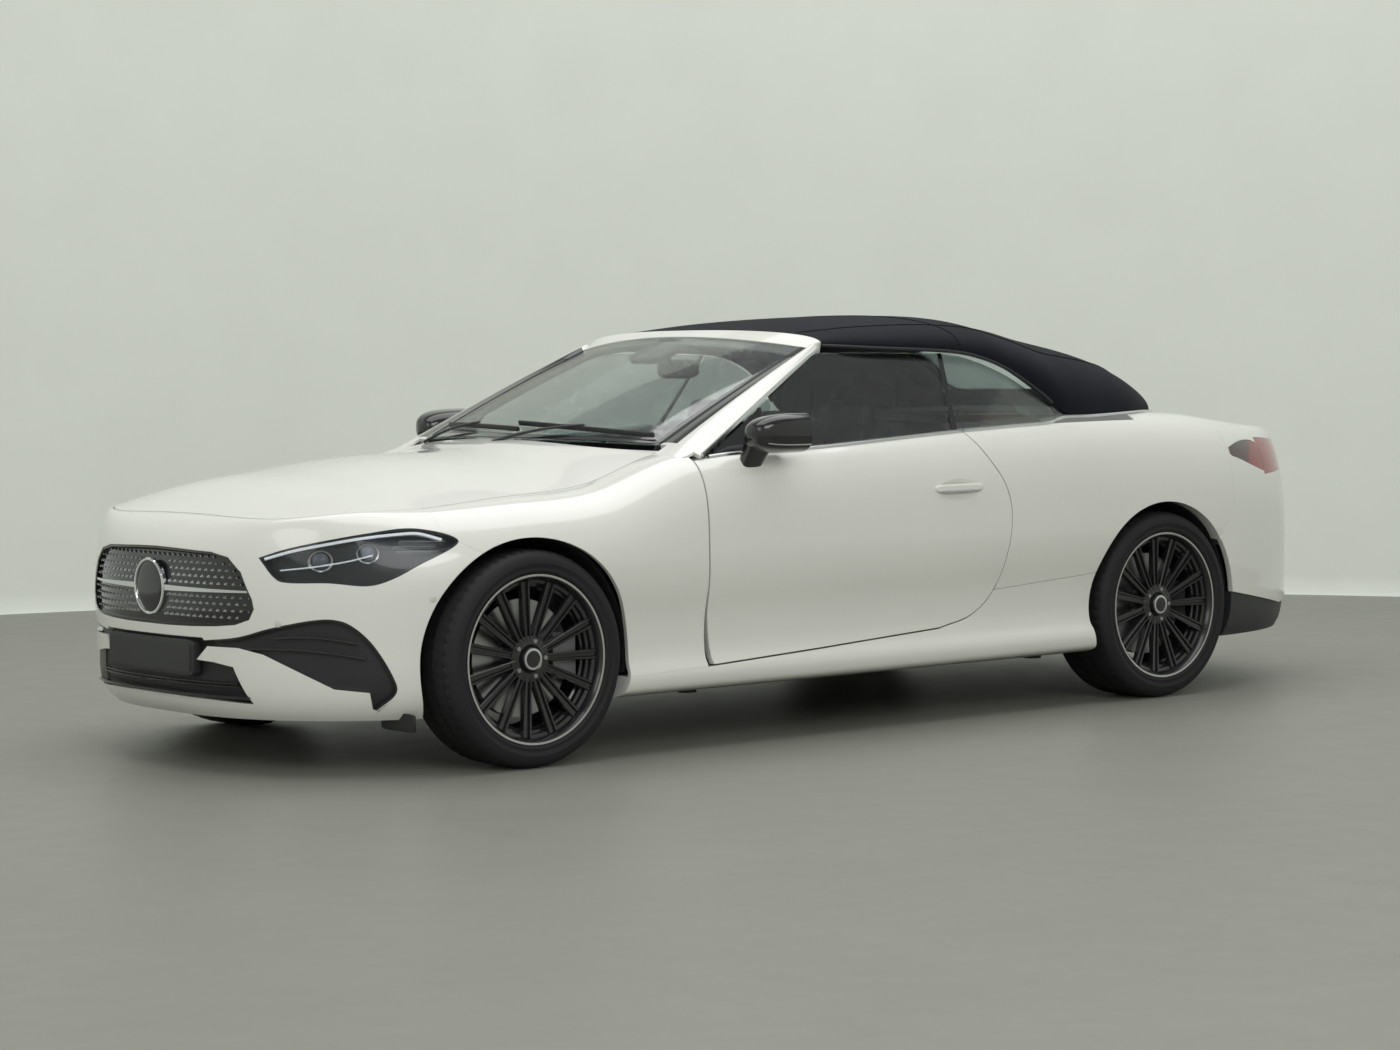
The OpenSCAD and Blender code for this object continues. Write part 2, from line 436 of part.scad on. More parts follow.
// Windscreen surface: u across, v up the glass; v of 2 is the front edge of the cloth roof
function pane(u, v) = let (s = sign(u), a = min(1, abs(u)), e = max(0, abs(u) - 1) / 0.25,
    b = [xf + 535 + 170 * a * a, s * out(674) * a, 1003 - 18 * a * a], t = [xf + 1310 + 80 * a * a, s * out(627) * a, up(1338 - 44 * a * a)],
    h = [xf + 1434.2 - roof_bow * (1 - a ^ 2.4), s * out(645) * a, roof[0][2] + (roof[0][3] - roof[0][2]) * rounded(a, 2.4)],
    w = min(1, v), bul = 18 * 4 * max(0, w) * (1 - w) * (1 - a * a / 2),
    p = v > 1 ? mix(t, h, v - 1) : mix(b, t, w) + bul * [-0.4, 0, 0.92],
    o = mix([xf + 725, s * out(852), 952], [xf + 1425, s * out(648), up(1304)], min(1, v) * 0.985) + (v > 1 ? [8 * (v - 1), 0, 2] : [0, 0, 0]))
  mix(p, o, e) + 14 * 4 * e * (1 - e) * [-0.3, s * 0.5, 0.8];
function pane_in(u, v, t) = let (e = max(0, min(1, (abs(u) - 0.8) / 0.45)), f = 1 - 2.6 * max(0, abs(u) - 1)) pane(u, v) + t * f * [v > 1.2 ? 0 : 0.35, -sign(u) * 0.45 * e, -0.85];
module pane_shell(us, vs, t0, t1) { shell([for (u = us) [for (v = vs) pane_in(u, v, t0)]], [for (u = us) [for (v = vs) pane_in(u, v, t1)]]); }
module windscreen_frame() color("white") meshed() {
  pane_shell([for (k = over(12)) let (a = cos(180 * k)) sign(a) * abs(a) ^ (2 / 2.4)], [1, 1.5, 2], 0, 38);
  both() pane_shell([-1, -1.08, -1.17, -1.25], [-0.01, 0.13, 0.36, 0.6, 0.84, 1, 1.5, 2], 0, 38);
  both() translate([x_df + 4, -out(744), 850 + seat]) cube([46, 54, 120]);
}
module windscreen() color("gray") meshed() pane_shell([for (s = over(10)) 0.9985 - 1.997 * s], [for (s = over(5)) mix(0, 0.998, s)], 2, 8);

// Cloth roof: sections across, from the windscreen frame to the deck
function rail_z(r) = max(r[2], body_top(r[0], out(r[1])) + 4);
function roof_row(r, k, t, n) = [for (s = over(n)) let (a = 180 * s - 90, p = 2 / 2.4, y = out(r[1]) - t, z = rail_z(r))
  [r[0] - (k == 0 ? roof_bow : k == 1 ? 20 : 0) * (1 - sin(a) ^ 2), y * sign(a) * abs(sin(a)) ^ p, z + (r[3] - t - z) * abs(cos(a)) ^ p]];
module roof_shell(t0, t1) { shell([for (i = [0:len(roof) - 1]) roof_row(roof[i], i, t0, 12)], [for (i = [0:len(roof) - 1]) roof_row(roof[i], i, t1, 12)]); }
module rear_pane(d) translate([xr - 100, 0, 0]) rotate([90, 0, 90]) linear_extrude(500) offset(r = 40 + d) offset(delta = -40) polygon([[-430, up(1118)], [430, up(1118)], [360, up(1290)], [-360, up(1290)]]);
module cloth_roof() color([0.1, 0.1, 0.13]) meshed() difference() { roof_shell(0, roof_t); rear_pane(0); }
module rear_window() color("gray") meshed() intersection() { roof_shell(6, 6 + glass_t); rear_pane(-seat); }

// Side glass lies in one leaning plane
lean = 0.6;
glass_y = hw - 98;
glass_z = 970;
module glass_plate(d, t) multmatrix([[1, 0, 0, 0], [0, lean / sqrt(1 + lean ^ 2), -1 / sqrt(1 + lean ^ 2), -glass_y], [0, 1 / sqrt(1 + lean ^ 2), lean / sqrt(1 + lean ^ 2), glass_z]])
  translate([0, 0, -d]) linear_extrude(t) scale([1, sqrt(1 + lean ^ 2)]) translate([0, -glass_z]) children();
module door_glass_outline(d) offset(delta = d) polygon([[x_df + 93, belt(x_df + 93) - 60], [x_df + 93, 958], [x_df + 712, up(1276)], [x_dr - 420, up(1277)], [x_dr - 90, up(1268)], [x_dr - 184, 1005], [x_dr - 200, belt(x_dr - 200) - 60]]);
module rear_glass_outline(d) offset(delta = d) polygon([[x_dr - 142, belt(x_dr - 142) - 30], [x_dr - 150, belt(x_dr - 150) + 10], [x_dr - 72, up(1266)], [x_dr + 20, up(1254)], [x_dr + 120, up(1222)], [x_dr + 210, up(1178)], [x_dr + 300, up(1116)], [x_dr + 360, up(1064)], [x_dr + 372, belt(x_dr + 370) - 30]]);
module quarter_glass() color("gray") both() glass_plate(0, glass_t) rear_glass_outline(0);
module door_glass() color("gray") glass_plate(0, glass_t) door_glass_outline(0);
module door_glass_left() door_glass();
module door_glass_right() mirror([0, 1, 0]) door_glass();

// Doors: an outer skin, an inner box that is smaller all round, a slot for the glass, pockets for the hinges
hinge_x = x_df + shut + 70;
hinge_y = hw - 22;
hinge_z = [596, 742];
module door() color("white") meshed() difference() {
  union() {
    intersection() { side_shell(x_df, x_dr + 5, 6, 26, 4, 4); side_cut_2d() door_outline(shut / 2); }
    intersection() { side_shell(x_df, x_dr + 5, 6, door_t, 4, 4); side_cut_2d() door_outline(shut / 2 + 26); }
    translate([x_dr - 245, -side_y(x_dr - 245, 805) + 1, 805]) cube([216, 12, 22], center = true);
  }
  glass_plate(seat, glass_t + 2 * seat) door_glass_outline(seat);
  for (z = hinge_z) {
    translate([x_df - 5, -hinge_y - 8, z - 7]) cube([hinge_x - x_df + 21, 170, 44]);
    translate([hinge_x, -hinge_y, z - 20]) cylinder(r = 5 + run, h = 70, $fn = 24);
  }
  difference() {
    translate([x_dr - 245, -hw - 14, 805]) scale([100, 34, 30]) sphere(1, $fn = 14);
    translate([x_dr - 245, -side_y(x_dr - 245, 805) + 1, 805]) cube([216, 12, 22], center = true);
  }
}
module side_cut_2d() { translate([0, -hw + 145, 0]) rotate([90, 0, 0]) linear_extrude(300) children(); }
module door_left() { door(); }
module door_right() mirror([0, 1, 0]) door();

module door_mirror() color("black") meshed() difference() {
  union() {
    hull() { for (p = [[-62, -20, 8, 52], [42, -22, 6, 62], [30, 36, 4, 56], [-48, 30, 2, 48]]) translate([x_df + 275 + p[0], -(hw + 10) + p[1], 1024 + p[2]]) sphere(r = p[3], $fn = 12); }
    hull() { translate([x_df + 262, -(hw - 6), 985]) sphere(r = 36, $fn = 10); translate([x_df + 236, -(hw - 52), 908]) sphere(r = 30, $fn = 10); }
  }
  shell([for (s = over(4)) side_section(mix(x_df + 100, x_df + 420, s), -0.8, 2, 8, 500)], [for (s = over(4)) side_section(mix(x_df + 100, x_df + 420, s), 160, 2, 8, 500)]);
}
module mirror_left() door_mirror();
module mirror_right() mirror([0, 1, 0]) door_mirror();

// Bonnet, hinged at its rear corners
bonnet_axis = [xf + 660, 0, 935];
module bonnet() color("white") meshed() difference() {
  union() {
    deck([for (s = over(7)) function (y) mix(bonnet_end(y), xf + 518 + 100 * (y / deck_w) ^ 2, s)], deck_w - shut, 18, skin_t + 2);
    for (s = [-1, 1]) hull() { translate([bonnet_axis.x, s * bonnet_arm, bonnet_axis.z]) rotate([90, 0, 0]) cylinder(r = 12, h = 12, center = true, $fn = 24); translate([xf + 560, s * bonnet_arm - 6, 912]) cube([40, 12, 30]); }
  }
  for (s = [-1, 1]) translate([bonnet_axis.x, s * bonnet_arm, bonnet_axis.z]) rotate([90, 0, 0]) cylinder(r = 5 + run, h = 40, center = true, $fn = 24);
}
module cowl() color("black") {
  translate([xf + 440, -out(645), 870 + seat]) cube([240, 2 * out(645), 14]);
  for (s = [-1, 1]) {
    translate([xf + 640, s * (bonnet_arm + 18) - 8, 880]) cube([34, 16, 56]);
    translate([bonnet_axis.x, s * bonnet_arm, bonnet_axis.z]) rotate([90, 0, 0]) cylinder(r = 5, h = 52, center = true);
  }
}

module wheel_housings() color("black") both() for (x = [xf, xr]) difference() {
  translate([x, -545, tyre_r]) rotate([90, 0, 0]) difference() { cylinder(r = arch_r + 11, h = liner_y - 545); translate([0, 0, -1]) cylinder(r = arch_r + 1, h = 400); }
  translate([x - 600, -outside, -300]) cube([1200, outside - 400, 300 + tyre_r - 70]);
  if (x == xf) translate([x - 600, -outside, 0]) cube([380, 210, 1000]);
}

module dashboard() color([0.12, 0.12, 0.13]) difference() {
  union() {
    translate([xf + 475 + seat, out(735), 0]) rotate([90, 0, 0]) linear_extrude(2 * out(735)) polygon([[285, 610], [285, 912], [340, 922], [500, 915], [535, 860], [480, 720], [400, 640]]);
    translate([xf + 475 + seat, out(675), 0]) rotate([90, 0, 0]) linear_extrude(2 * out(675)) polygon([[0, 560], [0, 862], [236, 862], [240, 900], [290, 914], [290, 610], [200, 590]]);
  }
  translate(steer_c) rotate([0, 90 - 25, 0]) translate([0, 0, -330]) cylinder(r = 20 + run, h = 430);
}
steer_c = [xf + 1115, -370, 860];
module steering_wheel() color("black") translate(steer_c) rotate([0, 90 - 25, 0]) {
  rotate_extrude() translate([steer_d / 2 - 15, 0]) circle(r = 15, $fn = 24);
  for (a = [0, 120, 240]) rotate([0, 0, a]) translate([0, -18, -8]) cube([steer_d / 2 - 12, 36, 12]);
  translate([0, 0, -22]) cylinder(r = 62, h = 36);
  translate([0, 0, -190]) cylinder(r = 20, h = 180);
}

module seat_solid(w) {
  translate([0, -w / 2 + 40, sill_z + 26 + seat]) cube([440, w - 80, seat_z - sill_z - 150]);
  translate([-30, -w / 2, seat_z - 130]) cube([520, w, 130]);
  translate([430, -w / 2 + 10, seat_z - 90]) rotate([0, 20, 0]) {
    cube([120, w - 20, 600]);
    translate([20, w / 2 - 140, 590]) cube([80, 260, 180]);
  }
}
module front_seats() color([0.1, 0.1, 0.1]) for (s = [-1, 1]) translate([xf + 1140, s * 370, 0]) seat_solid(seat_w);
module rear_seat() color([0.1, 0.1, 0.1]) {
  translate([xr - 800, -out(560), sill_z + 26 + seat]) cube([380, 2 * out(560), seat_z - sill_z - 60]);
  translate([xr - 480, -out(560), sill_z + 30]) cube([90 - seat, 2 * out(560), 640]);
  for (s = [-1, 1]) translate([xr - 470, s * 300 - 120, sill_z + 660]) cube([70, 240, 130]);
}

module engine() color("silver") translate([xf - 300, 110 - rail_y, 240 + seat]) cube([640, 2 * rail_y - 220, 500]);

// Front axle: crossmember, rails' rack, two pairs of arms, struts; the pins of the arms carry the knuckles
king_y = track_front / 2 - 38;
module front_subframe() color("dimgray") {
  translate([xf - 70, -rail_y - 30, 180]) cube([140, 2 * rail_y + 60, 60]);
  for (s = [-1, 1]) {
    translate([xf - 60, s * rail_y - 35, 235]) cube([120, 70, 145 - seat]);
    for (z = [186, 474]) {
      hull() { translate([xf - 30, s * (z == 186 ? rail_y - 15 : king_y - 223) - 5, z]) cube([60, 10, 18]); translate([xf, s * king_y, z]) cylinder(r = 20, h = 18); }
      translate([xf, s * king_y, z == 186 ? z : z - 22]) cylinder(r = 10, h = 40);
    }
    translate([xf, s * (king_y - 208), 195]) cylinder(r = 28, h = 505);
    translate([xf, s * (king_y - 208), 480]) cylinder(r = 46, h = 200);
  }
}
module caliper(w, y, x0) {
  difference() {
    translate([x0 + 108, -y - 50, tyre_r - 72]) cube([88, 112, 144]);
    translate([x0, -y + 12, tyre_r]) rotate([90, 0, 0]) cylinder(r = disc_d / 2 + 6, h = 44);
  }
}
module knuckle() color("gray") difference() {
  union() {
    translate([xf - 36, -king_y - 22, 210]) cube([72, 44, 258]);
    translate([xf, -king_y, tyre_r]) rotate([90, 0, 0]) cylinder(r = 14, h = track_front / 2 - king_y + 80);
    translate([xf + 30, -king_y - 5, tyre_r - 40]) cube([90, 27, 80]);
    caliper(tyre_w_front, track_front / 2, xf);
    translate([xf - 150, -king_y + 2, 296]) cube([130, 20, 26]);
  }
  translate([xf, -king_y, 200]) cylinder(r = 10 + run, h = 28);
  translate([xf, -king_y, 450]) cylinder(r = 10 + run, h = 28);
}
module knuckle_left() knuckle();
module knuckle_right() mirror([0, 1, 0]) knuckle();

beam_y = track_rear / 2 - 370;
strut_y = track_rear / 2 - 200;
module rear_subframe() color("dimgray") both() {
  translate([xr - 70, -beam_y, 200]) cube([140, beam_y + 1, 60]);
  for (z = [206, 440]) translate([xr - 26, -track_rear / 2 + 20, z]) cube([52, track_rear / 2 - 20 - (z == 206 ? beam_y - 40 : strut_y - 20), 18]);
  translate([xr, -strut_y, 210]) cylinder(r = 38, h = 400);
  translate([xr - 36, -track_rear / 2 + 18, 206]) cube([72, 40, 252]);
  translate([xr, -track_rear / 2 + 20, tyre_r]) rotate([90, 0, 0]) cylinder(r = 14, h = 100);
  translate([xr + 30, -track_rear / 2 + 28, tyre_r - 40]) cube([90, 27, 80]);
  caliper(tyre_w_rear, track_rear / 2, xr);
  translate([xr - 60, -beam_y, 255]) cube([120, 60, sill_z + 150 - 255 - seat]);
}

module exhaust() color("gray") {
  translate([xf + 900, 0, 148]) rotate([0, 90, 0]) cylinder(r = 28, h = xr + 440 - xf - 900);
  translate([xr + 430, -330, 130]) cube([340, 660, sill_z + 150 - 130 - seat]);
}

// Wheel about its own axis, outboard along z
module wheel(w) color([0.08, 0.08, 0.08]) {
  r = rim_d / 2; f = w / 2 - 10;
  difference() {
    union() {
      rotate_extrude($fn = 90) polygon([[r + 12, -f], [r + 12, -f + 8], [r - 2, -f + 12], [r - 14, -f + 50], [r - 14, f - 44], [r - 2, f - 12], [r + 12, f - 8], [r + 12, f], [r - 4, f], [r - 24, f - 30], [r - 24, -f + 50], [r - 10, -f + 8], [r - 10, -f]]);
      for (i = [0:spokes - 1], s = [-1, 1]) rotate([0, 0, 360 / spokes * i]) translate([52, s * 10 - 5, f - 62]) rotate([0, -5, s * 1.6]) cube([r - 74, 10, 26]);
      translate([0, 0, f - 76]) cylinder(r = 74, h = 44);
      translate([0, 0, -6]) cylinder(r = 84, h = f - 60);
      translate([0, 0, -6]) cylinder(r = disc_d / 2, h = 30);
    }
    translate([0, 0, -20]) cylinder(r = 14 + run, h = 105);
  }
}
module tyre(w) color([0.05, 0.05, 0.05]) {
  r0 = rim_d / 2 + 12 + seat; r1 = tyre_r; h = w / 2;
  rotate_extrude($fn = 90) polygon([[r0, 14 - h], [r0 + 16, 3 - h], [r1 - 46, -h], [r1 - 16, 10 - h], [r1, 36 - h], [r1, h - 36], [r1 - 16, h - 10], [r1 - 46, h], [r0 + 16, h - 3], [r0, h - 14]]);
}
module at_wheel(front, left) translate([front ? xf : xr, (left ? -1 : 1) * (front ? track_front : track_rear) / 2, tyre_r]) rotate([left ? 90 : -90, 0, 0]) children();
module wheel_front_left() at_wheel(true, true) wheel(tyre_w_front);
module wheel_front_right() at_wheel(true, false) wheel(tyre_w_front);
module wheel_rear_left() at_wheel(false, true) wheel(tyre_w_rear);
module wheel_rear_right() at_wheel(false, false) wheel(tyre_w_rear);
module tyre_front_left() at_wheel(true, true) tyre(tyre_w_front);
module tyre_front_right() at_wheel(true, false) tyre(tyre_w_front);
module tyre_rear_left() at_wheel(false, true) tyre(tyre_w_rear);
module tyre_rear_right() at_wheel(false, false) tyre(tyre_w_rear);

floor_pan();
front_structure();
sills();
front_fenders();
rear_quarters();
front_bumper();
grille();
front_intakes();
headlamps();
plate_holder();
rear_bumper();
rear_valance();
tail_lamps();
windscreen_frame();
windscreen();
cloth_roof();
rear_window();
quarter_glass();
deck_panel();
boot_hinges();
cowl();
wheel_housings();
dashboard();
front_seats();
rear_seat();
engine();
front_subframe();
rear_subframe();
exhaust();
door_left();
door_right();
door_glass_left();
door_glass_right();
mirror_left();
mirror_right();
bonnet();
boot_lid();
steering_wheel();
knuckle_left();
knuckle_right();
wheel_front_left();
wheel_front_right();
wheel_rear_left();
wheel_rear_right();
tyre_front_left();
tyre_front_right();
tyre_rear_left();
tyre_rear_right();
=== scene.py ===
"""Convertible car with a closed cloth roof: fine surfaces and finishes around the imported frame.

Metres, X to the tail, Y to the car's right, Z up. The body's formulas are those of the part's source,
read at a finer step, with a lower nose and a fuller bonnet.
"""

import json

import bmesh
import bpy
import numpy as np
from mathutils import Matrix, Vector


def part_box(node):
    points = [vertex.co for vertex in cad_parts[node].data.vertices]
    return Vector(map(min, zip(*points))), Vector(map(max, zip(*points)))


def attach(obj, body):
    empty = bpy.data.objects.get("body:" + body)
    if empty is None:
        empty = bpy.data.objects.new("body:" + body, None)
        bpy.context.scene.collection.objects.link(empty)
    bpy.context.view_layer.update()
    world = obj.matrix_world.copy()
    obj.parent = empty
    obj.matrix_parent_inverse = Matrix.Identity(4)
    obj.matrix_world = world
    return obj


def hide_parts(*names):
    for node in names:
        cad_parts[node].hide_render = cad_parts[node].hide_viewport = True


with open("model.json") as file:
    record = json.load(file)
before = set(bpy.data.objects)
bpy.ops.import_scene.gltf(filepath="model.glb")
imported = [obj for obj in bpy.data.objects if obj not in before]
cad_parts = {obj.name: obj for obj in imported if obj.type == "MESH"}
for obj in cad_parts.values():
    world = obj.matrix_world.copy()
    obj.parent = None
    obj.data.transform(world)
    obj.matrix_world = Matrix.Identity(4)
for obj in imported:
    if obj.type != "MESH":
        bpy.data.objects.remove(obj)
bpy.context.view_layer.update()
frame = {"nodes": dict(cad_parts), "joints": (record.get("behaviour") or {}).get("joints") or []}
MM = 0.001

# Places from the frame
hinge = {j["name"]: np.array(j["pos_m"]) for j in frame["joints"] if "pos_m" in j}
XF, Y_FRONT, TYRE_R = np.abs(hinge["wheel_front_left_spin"]) * (-1, 1, 1)
XR, Y_REAR, _ = np.abs(hinge["wheel_rear_left_spin"])
HINGE_Y = abs(hinge["door_left_hinge"][1])
STEER_AT = hinge["steering_wheel_turn"]
X_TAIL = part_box("rear_bumper")[1][0]
X_NOSE = -X_TAIL

# Driving sizes
HALF_W, DECK_W = 930 * MM, 700 * MM
SILL_Z, ROOF_Z = 190 * MM, 1412 * MM
ARCH_R = TYRE_R + 38 * MM
SKIN, GAP = 16 * MM, 4 * MM
X_DF = XF + 692 * MM
X_DR = X_DF + 1377 * MM
SILL_IN = HALF_W - 130 * MM
X_FT, X_RT = XF + 285 * MM, XR + 20 * MM
X_BC, X_BF = XF + 185 * MM, XF - 705 * MM
X_DC, X_DE = XR + 120 * MM, XR + 1020 * MM
X_LID, LID_W, LID_GAP = XR + 345 * MM, 590 * MM, 10 * MM
RIM_R, DISC_R = 254 * MM, 185 * MM
SPOKES = 15
GLASS_LEAN, GLASS_Y, GLASS_Z, GLASS_T = 0.6, HALF_W - 98 * MM, 970 * MM, 5 * MM
ROOF_BOW, ROOF_T, SHEET_T = 65 * MM, 28 * MM, 6 * MM
ROOF_ROWS, ROOF_COLUMNS = 132, 96
FRONT_OPEN, REAR_OPEN = XF - 120 * MM, XR + 290 * MM
FRONT_REACH = (X_NOSE - 50 * MM, XF - 500 * MM)
HANDLE_X, HANDLE_Z = X_DR - 255 * MM, 806 * MM
PLATE_X, PLATE_Z, PLATE_HALF = X_NOSE + 2 * MM, 357.5 * MM, np.array((258, 57.5)) * MM
BADGE_Z, BADGE_R = 570 * MM, 88 * MM
DASH_HALF, SEAT_X = 735 * MM, XF + 1140 * MM
TYRE_W = {"front": 245 * MM, "rear": 275 * MM}
HAIR = 0.3 * MM

# Station, height of the widest line, height of the shoulder, squareness of the shoulder, crown
STATIONS = np.array([
    (X_NOSE / MM, 505, 728, 2000, 0), (XF / MM - 515, 540, 795, 2000, 84),
    (XF / MM - 275, 575, 811, 2000, 110), (XF / MM, 600, 834, 2200, 119),
    (XF / MM + 351, 620, 863, 2500, 105), (X_DF / MM, 640, 962, 3200, 60),
    (X_DF / MM + 593, 650, 989, 3400, 40), (X_DR / MM - 126, 655, 1026, 3400, 30),
    (XR / MM - 376, 650, 1044, 3200, 30), (XR / MM + 220, 640, 1036, 2600, 16),
    (XR / MM + 640, 620, 985, 2200, 18), (X_TAIL / MM, 560, 940, 2000, 30)]) * MM
# Height, inset of the side below the widest line
FLANK = np.array([(170, 90), (190, 70), (205, 28), (235, 12), (270, 14), (300, 30), (360, 36), (440, 30),
                  (540, 8), (620, 0), (900, 0)]) * MM
# Height, inset of the bumpers below the widest line
APRON = np.array([(165, 70), (200, 36), (245, 14), (310, 4), (400, 2), (500, 0), (900, 0)]) * MM
# Roof station from the front axle, half-width at the rail, height of the rail (0 is the body's own top),
# height of the crown below the roof's top
ROOF = np.array([
    (1435, 645, 1306, 52), (1650, 668, 1296, 20), (2000, 676, 1281, 3), (2150, 688, 1258, 0),
    (2270, 712, 1212, 8), (2390, 752, 1130, 24), (2500, 792, 0, 46), (2645, 790, 0, 77),
    (2855, 755, 0, 128), (2990, 700, 0, 186), (3105, 620, 0, 270), (3175, 480, 0, 340)]) * MM


# Reading of tables and the body's formulas

def read(table, column, x):
    """Hermite reading of a column at x: slopes from the rows on both sides, held at the ends."""
    t, v = table[:, 0], table[:, column]
    i = np.clip(np.searchsorted(t, x, side="right") - 1, 0, len(t) - 2)
    last = len(t) - 1
    rise = lambda c, k: c[np.minimum(k + 1, last)] - c[np.maximum(k - 1, 0)]
    slope = lambda k: rise(v, k) / rise(t, k)
    h = t[i + 1] - t[i]
    s = np.clip((x - t[i]) / h, 0, 1)
    first = v[i] * (2 * s**3 - 3 * s**2 + 1) + slope(i) * h * (s**3 - 2 * s**2 + s)
    return first + v[i + 1] * (3 * s**2 - 2 * s**3) + slope(i + 1) * h * (s**3 - s**2)


def mix(a, b, s):
    """From a to b by the share s."""
    return a + (b - a) * s


def steps(n, low=0.0, high=1.0):
    """Even steps from low to high, both ends counted."""
    return np.linspace(low, high, n + 1)


def rounded(u, n):
    """Superellipse quarter: (1 - u^n)^(1/n)."""
    return (1 - np.clip(u, 0, 1) ** n) ** (1 / n)


def wide_y(x):
    """Half-width at the widest line, drawn in to both ends by superellipse quarters."""
    return HALF_W * rounded((X_FT - x) / (X_FT - X_NOSE), 2.6) * rounded((x - X_RT) / (X_TAIL - X_RT), 2.8)


def shoulder_y(x):
    """Half-width at the shoulder, the edge of bonnet and deck."""
    return DECK_W * rounded((X_BC - x) / (X_BC - X_BF), 5) * rounded((x - X_DC) / (X_DE - X_DC), 4.5)


def station(x):
    """Height of the widest line, height of the shoulder and squareness at x."""
    return read(STATIONS, 1, x), read(STATIONS, 2, x), read(STATIONS, 3, x)


def top_z(x, y):
    """Bonnet and deck: shoulder height plus a crown that falls off as |y|^2.2."""
    return read(STATIONS, 2, x) + read(STATIONS, 4, x) * (1 - np.clip(np.abs(y) / DECK_W, 0, 1) ** 2.2)


def belt(x):
    """Height of the belt, a little below the shoulder."""
    return read(STATIONS, 2, x) - 28 * MM


def side_y(x, z):
    """Half-width of the side at z: flank inset below the widest line, superellipse above it."""
    w, k = wide_y(x), shoulder_y(x)
    zw, zk, m = station(x)
    return np.where(z <= zw, w - read(FLANK, 1, z), k + (w - k) * rounded((z - zw) / (zk - zw), m))


def body_top(x, y):
    """Height of the body's skin seen from above."""
    w, k = wide_y(x), shoulder_y(x)
    zw, zk, m = station(x)
    return np.where(np.abs(y) <= k, top_z(x, y),
                    zw + (zk - zw) * rounded((np.abs(y) - k) / np.maximum(w - k, 1e-6), m))


def side_grid(x, inset, low, up, foot=SILL_Z):
    """Sections of the left side at x, from foot to shoulder, drawn in by inset."""
    w, k = wide_y(x)[:, None], shoulder_y(x)[:, None]
    zw, zk, m = (c[:, None] for c in station(x))
    z = mix(foot, zw, steps(low)[None])
    a = np.pi / 2 * steps(up)[None, 1:]
    y = np.hstack([w - read(FLANK, 1, z) - inset, k + (w - k - inset) * np.cos(a) ** (2 / m)])
    z = np.hstack([z, zw + (zk - inset - zw) * np.sin(a) ** (2 / m)])
    return np.stack([np.broadcast_to(x[:, None], y.shape), -y, z], 2)


def end_grid(end, x_open, inset, columns, low, up, foot=172 * MM):
    """Columns of a bumper round the plan of the nose (end -1) or tail (end 1): apron inset along the plan's
    normal below the widest line, superellipse to the shoulder above it.
    """
    a = (1 - 2 * steps(columns)) * -end
    x_side, x_tip, x_edge, n = (X_FT, X_NOSE, X_BF, 2.6) if end < 0 else (X_RT, X_TAIL, X_DE, 2.8)
    length = abs(x_tip - x_side)
    x_start = x_open + end * 90 * MM
    sg = np.where(a < 0, -1, 1)
    yw = wide_y(np.array(x_open)) * np.sin(np.pi / 2 * np.abs(a)) ** 0.9
    ya = np.minimum(1, yw / HALF_W)
    xw = x_side + end * length * rounded(ya, n)
    nx, ny = end * np.abs((xw - x_side) / length) ** (n - 1) / length, ya ** (n - 1) / HALF_W
    size = np.hypot(nx, ny) + 1e-9
    dx, dy = (nx / size)[:, None], (ny / size)[:, None]
    xs = np.where(end * (xw - x_start) <= 0, xw,
                  x_start + (xw - x_start) * (x_edge - x_start) / (x_tip - x_start))
    ys = shoulder_y(xs)
    zs = top_z(xs, ys)[:, None]
    zw, _, m = (c[:, None] for c in station(xw))
    xs, ys, xw, yw, sg = (c[:, None] for c in (xs, ys, xw, yw, sg))
    z = mix(foot, zw, steps(low)[None])
    i = read(APRON, 1, z) + inset
    c, h = (f(np.pi / 2 * steps(up)[None, 1:]) ** (2 / m) for f in (np.cos, np.sin))
    x = np.hstack([xw - i * dx, xs + (xw - inset * dx - xs) * c])
    y = np.hstack([yw - i * dy, ys + (yw - inset * dy - ys) * c])
    return np.stack([x, sg * y, np.hstack([z, zw + (zs - inset - zw) * h])], 2)


def cross_y(n, w):
    """Places across the deck, closer together towards its edges."""
    v = 2 * steps(n) - 1
    return w * np.sign(v) * (1 - (1 - np.abs(v)) ** 1.4)


def deck_grid(start, end, half, rows, columns, drop):
    """Top surface between the curves start(y) and end(y), lowered by drop."""
    y = cross_y(columns, half)[None]
    x = mix(start(y), end(y), steps(rows)[:, None])
    y = np.broadcast_to(y, x.shape)
    return np.stack([x, y, top_z(x, y) - drop], 2)


def bonnet_end(y):
    """Front edge of the bonnet at y: a superellipse quarter in plan."""
    return X_BC - (X_BC - X_BF) * rounded(np.abs(y) / DECK_W, 5) + GAP


def bonnet_back(y):
    """Rear edge of the bonnet at y, which runs back beside the windscreen's foot."""
    t = np.abs(y / DECK_W)
    return XF + (518 + 100 * t**2 + 70 * t**5) * MM


def lid_end(y):
    """Rear edge of the deck at y: a superellipse quarter in plan."""
    return X_DC + (X_DE - X_DC) * rounded(np.abs(y) / DECK_W, 4.5)


